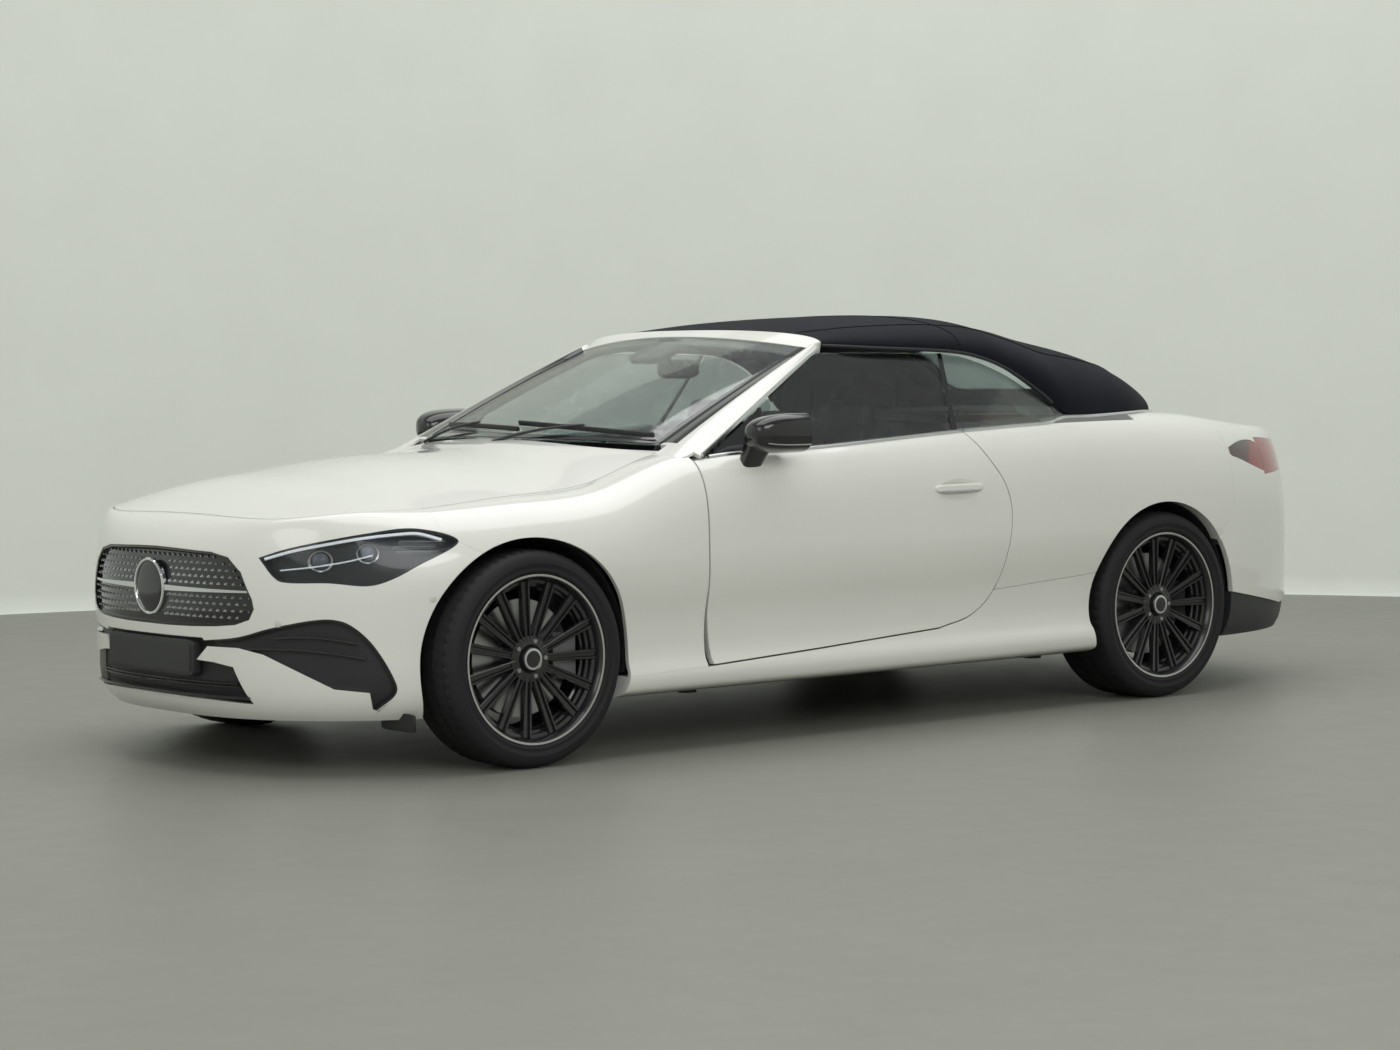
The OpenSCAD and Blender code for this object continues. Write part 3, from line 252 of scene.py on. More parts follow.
def pane(u, v):
    """Windscreen: u across, v up the glass; |u| over 1 is the pillar, v of 2 the cloth roof's edge."""
    s, a, e = np.sign(u), np.minimum(1, np.abs(u)), np.clip(np.abs(u) - 1, 0, None) / 0.25
    point = lambda x, y, z: np.stack(np.broadcast_arrays(XF + x, y, z), -1)
    foot = point((535 + 170 * a**2) * MM, s * 674 * MM * a, (1003 - 18 * a**2) * MM)
    head = point((1310 + 80 * a**2) * MM, s * 627 * MM * a, (1338 - 44 * a**2) * MM)
    crown = ROOF_Z - ROOF[0, 3]
    brow = point(1434.2 * MM - ROOF_BOW * (1 - a**2.4), s * 645 * MM * a,
                 ROOF[0, 2] + (crown - ROOF[0, 2]) * rounded(a, 2.4))
    w = np.minimum(1, v)
    bulge = 72 * MM * np.maximum(0, w) * (1 - w) * (1 - a**2 / 2)
    lift = lambda amount, d: amount[..., None] * np.stack(np.broadcast_arrays(*d), -1)
    glazed = mix(foot, head, w[..., None]) + lift(bulge, (-0.4, 0.0 * v, 0.92))
    inner = np.where((v > 1)[..., None], mix(head, brow, (v - 1)[..., None]), glazed)
    low = point(725 * MM + 0 * v, s * 852 * MM, 952 * MM)
    high = point(1425 * MM + 0 * v, s * 648 * MM, 1304 * MM)
    over = np.clip(v - 1, 0, None)
    edge = mix(low, high, (w * 0.985)[..., None]) + np.stack([8 * MM * over, 0 * over, 2 * MM * (v > 1)], -1)
    return mix(inner, edge, e[..., None]) + lift(56 * MM * e * (1 - e), (-0.3 + 0 * v, s * 0.5, 0.8))


def pane_grid(us, vs, depth):
    """Windscreen surface on a grid, moved inwards by depth; the pillar gets thinner to its outer edge."""
    u, v = np.meshgrid(us, vs, indexing="ij")
    e = np.clip((np.abs(u) - 0.8) / 0.45, 0, 1)
    f = 1 - 2.6 * np.clip(np.abs(u) - 1, 0, None)
    inward = np.stack([np.where(v > 1.2, 0, 0.35), -np.sign(u) * 0.45 * e, np.full_like(u, -0.85)], -1)
    return pane(u, v) + depth * f[..., None] * inward


def roof_grid(rows, columns, drop):
    """Cloth roof: superellipse arches over the rails, read along the roof's table, drawn in by drop."""
    x, w = XF + ROOF[:, 0], ROOF[:, 1]
    rail = np.maximum(ROOF[:, 2], body_top(x, w) + 4 * MM)
    bow = np.where(np.arange(len(x)) == 0, ROOF_BOW, np.where(np.arange(len(x)) == 1, 20 * MM, 0))
    table = np.stack([np.arange(len(x)), x, w, rail, ROOF_Z - ROOF[:, 3], bow], 1)
    x, w, rail, crown, bow = (read(table, c, steps(rows, 0, len(x) - 1))[:, None] for c in range(1, 6))
    a = np.pi * (steps(columns) - 0.5)[None]
    s, c = np.sin(a), np.clip(np.cos(a), 0, 1)
    return np.stack([x - bow * (1 - s**2), (w - drop) * np.sign(s) * np.abs(s) ** (1 / 1.2),
                     rail + (crown - drop - rail) * c ** (1 / 1.2)], 2)


# Meshes

def grid_faces(n, m, first=0, wrap_i=False, wrap_j=False):
    """Quads of an n by m grid; from outside i runs to the right and j up."""
    i, j = np.meshgrid(np.arange(n if wrap_i else n - 1), np.arange(m if wrap_j else m - 1), indexing="ij")
    k, l = (i + 1) % n, (j + 1) % m
    return first + np.stack([i * m + j, k * m + j, k * m + l, i * m + l], -1).reshape(-1, 4)


def surface(p, wrap_i=False, wrap_j=False):
    """Vertices and quads of a grid of points."""
    return p.reshape(-1, 3), grid_faces(*p.shape[:2], 0, wrap_i, wrap_j)


def shell(outer, inner):
    """Closed wall between two grids."""
    n, m = outer.shape[:2]
    o = np.arange(n * m).reshape(n, m)
    q = o + n * m
    strip = lambda a, b: np.stack([a[:-1], a[1:], b[1:], b[:-1]], 1)
    faces = [grid_faces(n, m), grid_faces(n, m, n * m)[:, ::-1], strip(q[:, 0], o[:, 0]),
             strip(o[:, -1], q[:, -1]), strip(o[0], q[0]), strip(q[-1], o[-1])]
    return np.vstack([outer.reshape(-1, 3), inner.reshape(-1, 3)]), np.vstack(faces)


def joined(*parts):
    """Several lots of vertices and faces as one."""
    start = np.cumsum([0] + [len(v) for v, _ in parts])
    faces = [f + s if isinstance(f, np.ndarray) else [[k + s for k in p] for p in f]
             for (_, f), s in zip(parts, start)]
    if all(isinstance(f, np.ndarray) for f in faces) and len({f.shape[1] for f in faces}) == 1:
        faces = np.vstack(faces)
    else:
        faces = [p for f in faces for p in (f.tolist() if isinstance(f, np.ndarray) else f)]
    return np.vstack([v for v, _ in parts]), faces


def turned(part, matrix, place=(0, 0, 0)):
    """A part turned by a 3 by 3 matrix and moved; faces are turned round where the matrix mirrors."""
    v, f = part
    matrix = np.asarray(matrix, float)
    if np.linalg.det(matrix) < 0:
        f = f[:, ::-1] if isinstance(f, np.ndarray) else [p[::-1] for p in f]
    return v @ matrix.T + place, f


MIRROR = np.diag([1.0, -1.0, 1.0])


def right(part):
    """Right-hand twin of a part."""
    return turned(part, MIRROR)


def both(part):
    """A left-hand part and its right-hand twin."""
    return joined(part, right(part))


def mesh_of(part, name="work"):
    """Mesh of a part, with the points of each pole made one."""
    v, f = part
    mesh = bpy.data.meshes.new(name)
    mesh.from_pydata(v.tolist(), [], f.tolist() if isinstance(f, np.ndarray) else f)
    work = bmesh.new()
    work.from_mesh(mesh)
    bmesh.ops.dissolve_degenerate(work, dist=1e-6, edges=work.edges)
    work.to_mesh(mesh)
    work.free()
    return mesh


def points_of(mesh):
    """Points of a mesh as rows."""
    v = np.empty(len(mesh.vertices) * 3, np.float32)
    mesh.vertices.foreach_get("co", v)
    return v.reshape(-1, 3).astype(float)


def line_through(points, n=8):
    """Smooth line through a few points, n steps from each to the next."""
    p = np.array(points, float)
    table = np.column_stack([np.arange(len(p)), p])
    t = steps((len(p) - 1) * n, 0, len(p) - 1)
    return np.stack([read(table, c + 1, t) for c in range(p.shape[1])], 1)


def grown(outline, d):
    """Closed outline moved out by d along the bisectors of its corners."""
    p = np.asarray(outline, float)
    p = p[np.linalg.norm(p - np.roll(p, -1, 0), axis=1) > 1e-6]
    e = np.roll(p, -1, 0) - p
    area = np.sum(p[:, 0] * np.roll(p[:, 1], -1) - np.roll(p[:, 0], -1) * p[:, 1])
    n = np.stack([e[:, 1], -e[:, 0]], 1) / np.linalg.norm(e, axis=1)[:, None] * np.sign(area)
    b = n + np.roll(n, 1, 0)
    return p + d * b / np.maximum(np.sum(b * b, 1) / 2, 0.3)[:, None]


def prism(outline, axes, d0, d1):
    """Solid on an outline in the plane of the first two axes, from d0 to d1 along the third."""
    a, u, n = (np.asarray(c, float) for c in axes)
    p = np.asarray(outline, float)
    p = p[np.linalg.norm(p - np.roll(p, -1, 0), axis=1) > 1e-6]
    area = np.sum(p[:, 0] * np.roll(p[:, 1], -1) - np.roll(p[:, 0], -1) * p[:, 1])
    if area * np.dot(np.cross(a, u), n) < 0:
        p = p[::-1]
    base = p[:, :1] * a + p[:, 1:] * u
    k = len(p)
    i = np.arange(k)
    walls = np.stack([i, (i + 1) % k, (i + 1) % k + k, i + k], 1).tolist()
    return np.vstack([base + d0 * n, base + d1 * n]), walls + [i[::-1].tolist(), (i + k).tolist()]


SIDE_VIEW = ((1, 0, 0), (0, 0, 1), (0, 1, 0))
FRONT_VIEW = ((0, 1, 0), (0, 0, 1), (1, 0, 0))
PLAN = ((1, 0, 0), (0, 1, 0), (0, 0, 1))


def slab(x0, x1, y0, y1, z0, z1):
    """Square block between two corners."""
    return prism([(x0, y0), (x1, y0), (x1, y1), (x0, y1)], PLAN, z0, z1)


def corner_view(turn, dip):
    """Axes square to a line of sight that turns from +Y towards +X and dips below level."""
    t, d = np.radians(turn), np.radians(dip)
    a = np.array([np.cos(t), -np.sin(t), 0])
    n = np.array([np.sin(t) * np.cos(d), np.cos(t) * np.cos(d), -np.sin(d)])
    return a, np.cross(a, n), n


def carve(part, cuts=(), within=()):
    """A solid kept within some solids and less others, by Blender's Boolean."""
    link = bpy.context.scene.collection.objects.link
    work = bpy.data.objects.new("work", mesh_of(part))
    link(work)
    spare = [work]
    for operation, solids in (("INTERSECT", within), ("DIFFERENCE", cuts)):
        for solid in solids:
            tool = bpy.data.objects.new("tool", mesh_of(solid))
            link(tool)
            spare.append(tool)
            cut = work.modifiers.new("cut", "BOOLEAN")
            cut.operation, cut.object, cut.solver = operation, tool, "MANIFOLD"
    mesh = bpy.data.meshes.new_from_object(work.evaluated_get(bpy.context.evaluated_depsgraph_get()))
    v, f = points_of(mesh), [list(p.vertices) for p in mesh.polygons]
    meshes = [mesh, *[o.data for o in spare]]
    for o in spare:
        bpy.data.objects.remove(o)
    for m in meshes:
        bpy.data.meshes.remove(m)
    return v, f


def piece(name, mesh, body, material, stands_for=(), sharp=32):
    """Links a mesh as a piece: smooth but for sharp edges, on a body, in place of CAD nodes."""
    if isinstance(mesh, tuple):
        mesh = mesh_of(mesh)
    mesh.name = name
    mesh.shade_smooth()
    mesh.set_sharp_from_angle(angle=np.radians(sharp))
    mesh.materials.clear()
    mesh.materials.append(material)
    o = bpy.data.objects.new(name, mesh)
    bpy.context.scene.collection.objects.link(o)
    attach(o, body)
    if stands_for:
        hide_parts(*stands_for)
    return o


def revolve(profile, n=96, closed=False):
    """Profile of (radius, height) turned about Z; closed joins its last point to its first."""
    r, z = np.asarray(profile, float).T
    a = 2 * np.pi * np.arange(n)[:, None] / n
    return surface(np.stack(np.broadcast_arrays(r * np.cos(a), r * np.sin(a), z + 0 * a), 2), True, closed)


def ring(profile, n=96):
    """Closed profile of (radius, height) turned about Z."""
    return revolve(profile, n, True)


def about_y(angle):
    """Turn about Y, from Z towards X."""
    c, s = np.cos(angle), np.sin(angle)
    return np.array([[c, 0, s], [0, 1, 0], [-s, 0, c]])


def about_z(angle):
    """Turn about Z, from X towards Y."""
    c, s = np.cos(angle), np.sin(angle)
    return np.array([[c, -s, 0], [s, c, 0], [0, 0, 1]])


def swept(path, profile, up=(0, 0, 1), closed=False, taper=None):
    """Closed profile carried along a path: across is along x up, ends capped by drawing in to the middle."""
    p = np.asarray(path, float)
    along = np.gradient(p, axis=0) if not closed else np.roll(p, -1, 0) - np.roll(p, 1, 0)
    along /= np.linalg.norm(along, axis=1)[:, None]
    across = np.cross(along, np.asarray(up, float))
    across /= np.linalg.norm(across, axis=1)[:, None]
    rise = np.cross(across, along)
    q = np.asarray(profile, float)
    k = np.ones(len(p)) if taper is None else np.asarray(taper, float)
    pts = p[:, None] + k[:, None, None] * (q[None, :, :1] * across[:, None] + q[None, :, 1:] * rise[:, None])
    if not closed:
        tip = lambda end: np.broadcast_to(end[:, None], pts[:1].shape)
        pts = np.concatenate([tip(p[:1]), pts, tip(p[-1:])])
    return surface(pts[:, ::-1], closed, True)


def circle(r, n=12):
    """Points round a circle."""
    a = 2 * np.pi * np.arange(n) / n
    return np.stack([r * np.cos(a), r * np.sin(a)], 1)


def superbox(centre, half, n=4.0, columns=48, rows=24):
    """Rounded block: a sphere's grid with each direction raised to 2/n."""
    a, b = 2 * np.pi * np.arange(columns)[:, None] / columns, np.pi * (steps(rows)[None] - 0.5)
    power = lambda v: np.sign(v) * np.abs(v) ** (2 / n)
    flat = power(np.cos(b))
    p = np.stack(np.broadcast_arrays(power(np.cos(a)) * flat, power(np.sin(a)) * flat,
                                     power(np.sin(b)) + 0 * a), 2)
    return surface(np.asarray(centre) + p * np.asarray(half), True, False)


def drop_on(points, axes, sheet):
    """Points of a view's plane put on a sheet along the sight: a plane through the nearest grid points."""
    a, u, n = (np.asarray(c, float) for c in axes)
    s = sheet.reshape(-1, 3)
    flat, depth = np.stack([s @ a, s @ u], 1), s @ n
    p = np.atleast_2d(points)
    near = np.argsort(((p[:, None] - flat[None]) ** 2).sum(2), 1)[:, :6]
    q = np.concatenate([flat[near] - p[:, None], np.ones((*near.shape, 1))], 2)
    fit = np.linalg.pinv(q) @ depth[near][..., None]
    d = fit[:, 2, 0]
    return p[:, :1] * a + p[:, 1:] * u + d[:, None] * n


def inside(points, outline):
    """Which points lie within a closed outline: odd count of crossings to the right."""
    (x, y), a, b = np.asarray(points).T[:, :, None], np.asarray(outline), np.roll(outline, -1, 0)
    crosses = (a[:, 1] > y) != (b[:, 1] > y)
    at = (b[:, 0] - a[:, 0]) * (y - a[:, 1]) / (b[:, 1] - a[:, 1] + 1e-12) + a[:, 0]
    return (crosses & (x < at)).sum(1) % 2 == 1


def facing(direction, across=(0, 0, 1)):
    """Turn that takes Z to a direction and keeps X square to it, near across."""
    z = np.asarray(direction, float) / np.linalg.norm(direction)
    x = np.asarray(across, float) - z * np.dot(across, z)
    x /= np.linalg.norm(x)
    return np.stack([x, np.cross(z, x), z], 1)


def studs(points, direction, r0, r1, height, corners=3, turn=np.pi / 2):
    """Small tapered studs: one ring of points at the foot and one at the tip for each place."""
    t = facing(direction, (0, 1, 0))
    a = turn + 2 * np.pi * np.arange(corners) / corners
    foot = np.stack([np.cos(a), np.sin(a), 0 * a], 1)
    rings = np.concatenate([foot * r0, foot * r1 + (0, 0, height)]) @ t.T
    v = (np.asarray(points)[:, None] + rings[None]).reshape(-1, 3)
    first = 2 * corners * np.arange(len(points))[:, None]
    i = np.arange(corners)
    quads = np.stack([i, (i + 1) % corners, (i + 1) % corners + corners, i + corners], 1)
    walls = (first[:, :, None] + quads[None]).reshape(-1, 4)
    return v, walls.tolist() + (first + i + corners).tolist() + (first + i[::-1]).tolist()


def loft(rings):
    """Closed skin over rings of points, ends drawn in; faces turned outward by the volume's sign."""
    cap = lambda r: np.broadcast_to(r.mean(1, keepdims=True), r.shape)
    v, f = surface(np.concatenate([cap(rings[:1]), rings, cap(rings[-1:])]), False, True)
    a, b, c, d = (v[f[:, k]] for k in range(4))
    volume = np.sum(a * np.cross(b, c)) + np.sum(a * np.cross(c, d))
    return v, f if volume > 0 else f[:, ::-1]


def oval(n, count=48):
    """Superellipse of half-widths 1."""
    a = 2 * np.pi * np.arange(count) / count
    c, d = np.cos(a), np.sin(a)
    return np.stack([np.sign(c) * np.abs(c) ** (2 / n), np.sign(d) * np.abs(d) ** (2 / n)], 1)


def pad(half, crown, bolster, across, along=0.6, depth=6 * MM, n=48):
    """Upholstered pad: two faces that meet at a rounded rim, the upper one crowned, raised at the sides
    past along, and drawn in along its seams.
    """
    places = np.sin(np.pi / 2 * steps(n, -1, 1))
    u, v = np.meshgrid(places, places, indexing="ij")
    edge = ((1 - np.abs(u) ** 5) * (1 - np.abs(v) ** 5)).clip(0) ** 0.4
    side = np.clip((np.abs(v) - along) / (1 - along), 0, 1)
    seam = lambda distance: np.exp(-((distance / (6 * MM)) ** 2))
    dip = sum((seam((u - a) * half[0]) for a in across), 0 * u) * (np.abs(v) < along)
    dip = dip + seam((np.abs(v) - along) * half[1]) * (np.abs(u) < 0.9)
    lift = edge * (crown * (1 - u**2) * (1 - v**2)
                   + bolster * np.sin(np.pi * side) ** 1.2 - depth * np.minimum(1, dip))
    x, y = half[0] * u * (1 - 0.06 * v**6), half[1] * v * (1 - 0.06 * u**6)
    return shell(np.stack([x, y, half[2] * edge + lift], 2), np.stack([x, y, -half[2] * edge], 2))


# Finishes

def finish(name, colour, roughness=0.5, metal=0.0, coat=0.0, grain=(60, 0.02), tone=0.06, spec=0.5, edge=0.0,
           **inputs):
    """Principled finish: slow and fine noise vary colour and roughness, fine noise gives the grain's bump;
    edge rounds the shading of sharp edges.
    """
    m = bpy.data.materials.new(name)
    m.use_nodes = True
    nodes, links = m.node_tree.nodes, m.node_tree.links
    b = nodes["Principled BSDF"]
    b.inputs["Metallic"].default_value = metal
    b.inputs["Coat Weight"].default_value = coat
    b.inputs["Coat Roughness"].default_value = 0.04
    b.inputs["Specular IOR Level"].default_value = spec
    for key, value in inputs.items():
        b.inputs[key.replace("_", " ")].default_value = value
    place = nodes.new("ShaderNodeTexCoord")
    slow, fine = nodes.new("ShaderNodeTexNoise"), nodes.new("ShaderNodeTexNoise")
    slow.inputs["Scale"].default_value, fine.inputs["Scale"].default_value = 2.4, grain[0]
    fine.inputs["Detail"].default_value = 4
    for t in (slow, fine):
        links.new(place.outputs["Object"], t.inputs["Vector"])
    ramp = nodes.new("ShaderNodeValToRGB")
    ramp.color_ramp.elements[0].position, ramp.color_ramp.elements[1].position = 0.3, 0.7
    ramp.color_ramp.elements[0].color = (*[c * (1 - tone) for c in colour], 1)
    ramp.color_ramp.elements[1].color = (*[min(1, c * (1 + tone)) for c in colour], 1)
    links.new(slow.outputs["Fac"], ramp.inputs["Fac"])
    links.new(ramp.outputs["Color"], b.inputs["Base Color"])
    rough = nodes.new("ShaderNodeMapRange")
    rough.inputs["To Min"].default_value = roughness * 0.85
    rough.inputs["To Max"].default_value = min(1, roughness * 1.15)
    links.new(fine.outputs["Fac"], rough.inputs["Value"])
    links.new(rough.outputs["Result"], b.inputs["Roughness"])
    bump = nodes.new("ShaderNodeBump")
    bump.inputs["Strength"].default_value, bump.inputs["Distance"].default_value = min(1, grain[1]), 0.001
    links.new(fine.outputs["Fac"], bump.inputs["Height"])
    if edge:
        soft = nodes.new("ShaderNodeBevel")
        soft.samples = 4
        soft.inputs["Radius"].default_value = edge
        links.new(soft.outputs["Normal"], bump.inputs["Normal"])
    links.new(bump.outputs["Normal"], b.inputs["Normal"])
    return m


PAINT = finish("white_paint", (0.79, 0.79, 0.745), 0.28, coat=1.0, grain=(900, 0.012), tone=0.012,
               edge=3 * MM)
GLOSS_BLACK = finish("gloss_black", (0.012, 0.012, 0.014), 0.12, coat=0.6, grain=(300, 0.01), tone=0.2)
SATIN_BLACK = finish("satin_black", (0.018, 0.018, 0.02), 0.45, grain=(700, 0.12), tone=0.25)
WHEEL_BLACK = finish("wheel_black", (0.014, 0.014, 0.015), 0.24, coat=0.5, grain=(400, 0.02), tone=0.25)
CHROME = finish("chrome", (0.78, 0.79, 0.8), 0.08, 1.0, grain=(500, 0.01), tone=0.03)
BRIGHT = finish("bright_trim", (0.72, 0.73, 0.74), 0.22, 1.0, grain=(800, 0.03), tone=0.05)
RUBBER = finish("tyre_rubber", (0.012, 0.012, 0.0135), 0.66, grain=(900, 0.25), tone=0.25, spec=0.35)
LINER = finish("arch_felt", (0.014, 0.014, 0.016), 0.9, grain=(1500, 0.5), tone=0.3)
STEEL = finish("disc_steel", (0.42, 0.42, 0.43), 0.28, 1.0, grain=(1200, 0.08), tone=0.1)
CAST = finish("cast_metal", (0.24, 0.24, 0.25), 0.55, 0.8, grain=(500, 0.4), tone=0.2)
UNDER = finish("underbody", (0.03, 0.03, 0.032), 0.75, grain=(350, 0.5), tone=0.3)
VALANCE = finish("grained_plastic", (0.035, 0.036, 0.04), 0.5, grain=(1600, 0.35), tone=0.15)
LEATHER = finish("seat_leather", (0.02, 0.02, 0.021), 0.42, grain=(420, 0.5), tone=0.25)
DASH = finish("dash_skin", (0.02, 0.021, 0.022), 0.55, grain=(900, 0.4), tone=0.2)
PLATE = finish("blank_plate", (0.022, 0.023, 0.022), 0.35, grain=(240, 0.05), tone=0.15)
SENSOR = finish("sensor_button", (0.62, 0.62, 0.585), 0.35, grain=(600, 0.02), tone=0.03)
GREY_TRIM = finish("grey_trim", (0.16, 0.165, 0.16), 0.5, grain=(900, 0.2), tone=0.1)
LINING = finish("roof_lining", (0.03, 0.03, 0.032), 0.9, grain=(1400, 0.5), tone=0.15, Sheen_Weight=0.3)
SCREEN = finish("dark_screen", (0.006, 0.007, 0.009), 0.08, grain=(200, 0.005), tone=0.3)
LAMP_BOWL = finish("lamp_bowl", (0.045, 0.05, 0.055), 0.3, grain=(600, 0.05), tone=0.3)
LED = finish("led_strip", (0.85, 0.87, 0.9), 0.3, grain=(300, 0.01), tone=0.02,
             Emission_Color=(0.9, 0.95, 1, 1), Emission_Strength=0.35)


def glass(name, colour, alpha, roughness=0.02):
    """Tinted glass: dark clear body that lets part of the light straight through, faintly smeared."""
    return finish(name, colour, roughness, grain=(5, 0.0), tone=0.08, Alpha=alpha, Transmission_Weight=1.0,
                  IOR=1.45)


TINTED = glass("tinted_glass", (0.44, 0.56, 0.55), 0.62)
SCREEN_GLASS = glass("windscreen_glass", (0.7, 0.83, 0.77), 0.5)
LENS = glass("lamp_lens", (0.55, 0.58, 0.6), 0.45)
LENS_DEEP = finish("projector_glass", (0.16, 0.19, 0.24), 0.04, coat=1.0, grain=(30, 0.0), tone=0.3)
BAND = glass("screen_band", (0.66, 0.7, 0.67), 0.75, 0.25)
RED_LENS = finish("red_lens", (0.22, 0.008, 0.012), 0.08, coat=1.0, grain=(150, 0.05), tone=0.3,
                  Emission_Color=(0.5, 0.02, 0.03, 1), Emission_Strength=0.06)
SMOKED = finish("smoked_lens", (0.05, 0.012, 0.014), 0.06, coat=1.0, grain=(150, 0.03), tone=0.3)


def roof_cloth():
    """Woven canvas: two crossed waves along the sheet's UV for threads, noise for shade, a soft sheen."""
    m = finish("roof_cloth", (0.0065, 0.0075, 0.013), 0.95, grain=(300, 0.2), tone=0.3, spec=0.12,
               Sheen_Weight=0.06, Sheen_Roughness=0.5)
    nodes, links = m.node_tree.nodes, m.node_tree.links
    uv = nodes.new("ShaderNodeUVMap")
    heights = []
    for turn in ("X", "Y"):
        wave = nodes.new("ShaderNodeTexWave")
        wave.bands_direction = turn
        wave.inputs["Scale"].default_value = 220
        wave.inputs["Distortion"].default_value = 0.6
        links.new(uv.outputs["UV"], wave.inputs["Vector"])
        heights.append(wave.outputs["Fac"])
    cross = nodes.new("ShaderNodeMath")
    cross.operation = "MAXIMUM"
    links.new(heights[0], cross.inputs[0])
    links.new(heights[1], cross.inputs[1])
    weave = nodes.new("ShaderNodeBump")
    weave.inputs["Strength"].default_value, weave.inputs["Distance"].default_value = 0.5, 0.0008
    links.new(cross.outputs["Value"], weave.inputs["Height"])
    grain = next(n for n in nodes if n.type == "BUMP" and n is not weave)
    links.new(weave.outputs["Normal"], grain.inputs["Normal"])
    return m


ROOF_CLOTH = roof_cloth()


# Outlines, shared by panels and what fills their openings

def mm(points):
    """Points given in millimetres."""
    return np.array(points, float) * MM


GRILLE_HALF = mm([(0, 696), (120, 694), (309, 688), (385, 674), (440, 630), (483, 547), (489, 518),
                  (473, 485), (424, 468), (347, 461), (235, 457), (120, 455), (0, 455)])
MOUTH_HALF = mm([(0, 424), (200, 424), (290, 424), (312, 399), (260, 354), (335, 350), (411, 338),
                 (443, 266), (462, 224), (300, 232), (120, 236), (0, 236)])
FRONT_CORNER, FRONT_DEPTH = corner_view(33.4, 4.5), (-2.3, -1.38)
LAMP = line_through(mm([(-1666, 540), (-1559, 569), (-1342, 606), (-1187, 620), (-1057, 579), (-1182, 506),
                        (-1265, 464), (-1340, 446), (-1453, 457), (-1577, 461), (-1620, 478), (-1666, 540)]),
                    8)[:-1]
INTAKE = line_through(mm([(-1870, 290), (-1741, 298), (-1635, 324), (-1513, 345), (-1440, 346), (-1385, 325),
                          (-1323, 267), (-1266, 173), (-1256, 118), (-1315, 67)]), 8)
BLADE = mm([(-1900, 238), (-1830, 273), (-1734, 266), (-1656, 244), (-1533, 181), (-1443, 135), (-1336, 122),
            (-1325, 60), (-1600, 20), (-1900, 20)])
TAIL_CORNER = corner_view(49.2, 2)
TAIL = line_through(mm([(1759, 928), (1770, 899), (1803, 884), (1900, 835), (1990, 800), (1990, 900),
                        (1891, 930), (1836, 955), (1795, 951), (1759, 928)]), 6)[:-1]
TAIL_BACK = mm([(605, 815), (800, 800), (900, 790), (900, 940), (800, 936), (605, 905)])


def whole(half):
    """An outline over both halves from the points of one."""
    return np.vstack([half, half[::-1][1:-1] * (-1, 1)])


def arch(x, r, y0, y1, n=160):
    """Cylinder of a wheel arch on the left, from y0 to y1 outboard."""
    return prism(circle(r, n) + (x, TYRE_R), SIDE_VIEW, -y1, -y0)


def arches(y0=-1.0, y1=1.0):
    """The two wheel arches of the left side, or of both where they reach across."""
    return [arch(x, ARCH_R, y0, y1) for x in (XF, XR)]


def lamp_hole(d=0.0):
    """Headlamp's opening, moved out by d, along the line of sight square to the corner."""
    return prism(grown(LAMP, d), FRONT_CORNER, *FRONT_DEPTH)


def pair(solid):
    """A solid and its right-hand twin, as a list."""
    return [solid, right(solid)]


def bonnet_space(d):
    """Room over the bonnet's plan, moved out by d."""
    y = cross_y(60, DECK_W - GAP)
    edge = np.vstack([np.stack([bonnet_end(y), y], 1), [(XF + 0.9, DECK_W - GAP), (XF + 0.9, GAP - DECK_W)]])
    return prism(grown(edge, d), PLAN, 0.7, 1.1)


def side_shell(x0, x1, n, t, low=26, up=26, foot=SILL_Z, out=0.0):
    """Wall of the left side from x0 to x1, t thick, its outer face moved out."""
    x = steps(n, x0, x1)
    return shell(side_grid(x, -out, low, up, foot), side_grid(x, t, low, up, foot))


def end_shell(end, x_open, t, inset=0.0, columns=150, low=26, up=26, foot=172 * MM):
    """Wall of the nose or tail, t thick, drawn in by inset."""
    return shell(end_grid(end, x_open, inset, columns, low, up, foot),
                 end_grid(end, x_open, inset + t, columns, low, up, foot))


def door_rear(d):
    """Rear edge of the door in side view, moved d to the rear."""
    return line_through(np.array([(-326, 325), (-171, 361), (-68, 442), (-18, 579), (0, 701), (-26, 807),
                                  (-103, 914), (-175, 1010)]) * MM + (X_DR + d, 0), 6)


def door_outline(d):
    """Door in side view, drawn in by d: front edge, belt, rear edge and foot."""
    x = steps(16, X_DF + 60 * MM, X_DR - 180 * MM)
    top = np.stack([x, belt(x)], 1)
    edge = np.vstack([mm([(25, 272), (8, 450), (0, 620), (0, 800)]) + (X_DF, 0), [(X_DF, belt(X_DF))], top,
                      door_rear(0)[::-1][1:], [(X_DF + 497 * MM, 294 * MM)]])
    return grown(edge, -d)


# Painted panels

def fenders():
    """Front fender: side wall cut at bumper, door and sill, with arch, lamp and bonnet taken out."""
    edge = mm([(-278, 2000), (-278, 738), (-158, 668), (-158, 200), (300, 200), (330, 257)]) + (XF, 0)
    edge = np.vstack([edge, mm([(18, 269), (3, 450), (-4, 620), (-4, 2000)]) + (X_DF, 0)])
    mesh = carve(side_shell(XF - 0.29, X_DF, 110, SKIN),
                 [*arches(0.5, 1.0), lamp_hole(), bonnet_space(GAP - 1 * MM)],
                 [prism(edge, SIDE_VIEW, -1, -0.5)])
    return piece("front_fender_panels", both(mesh), "body", PAINT, ["front_fenders"])


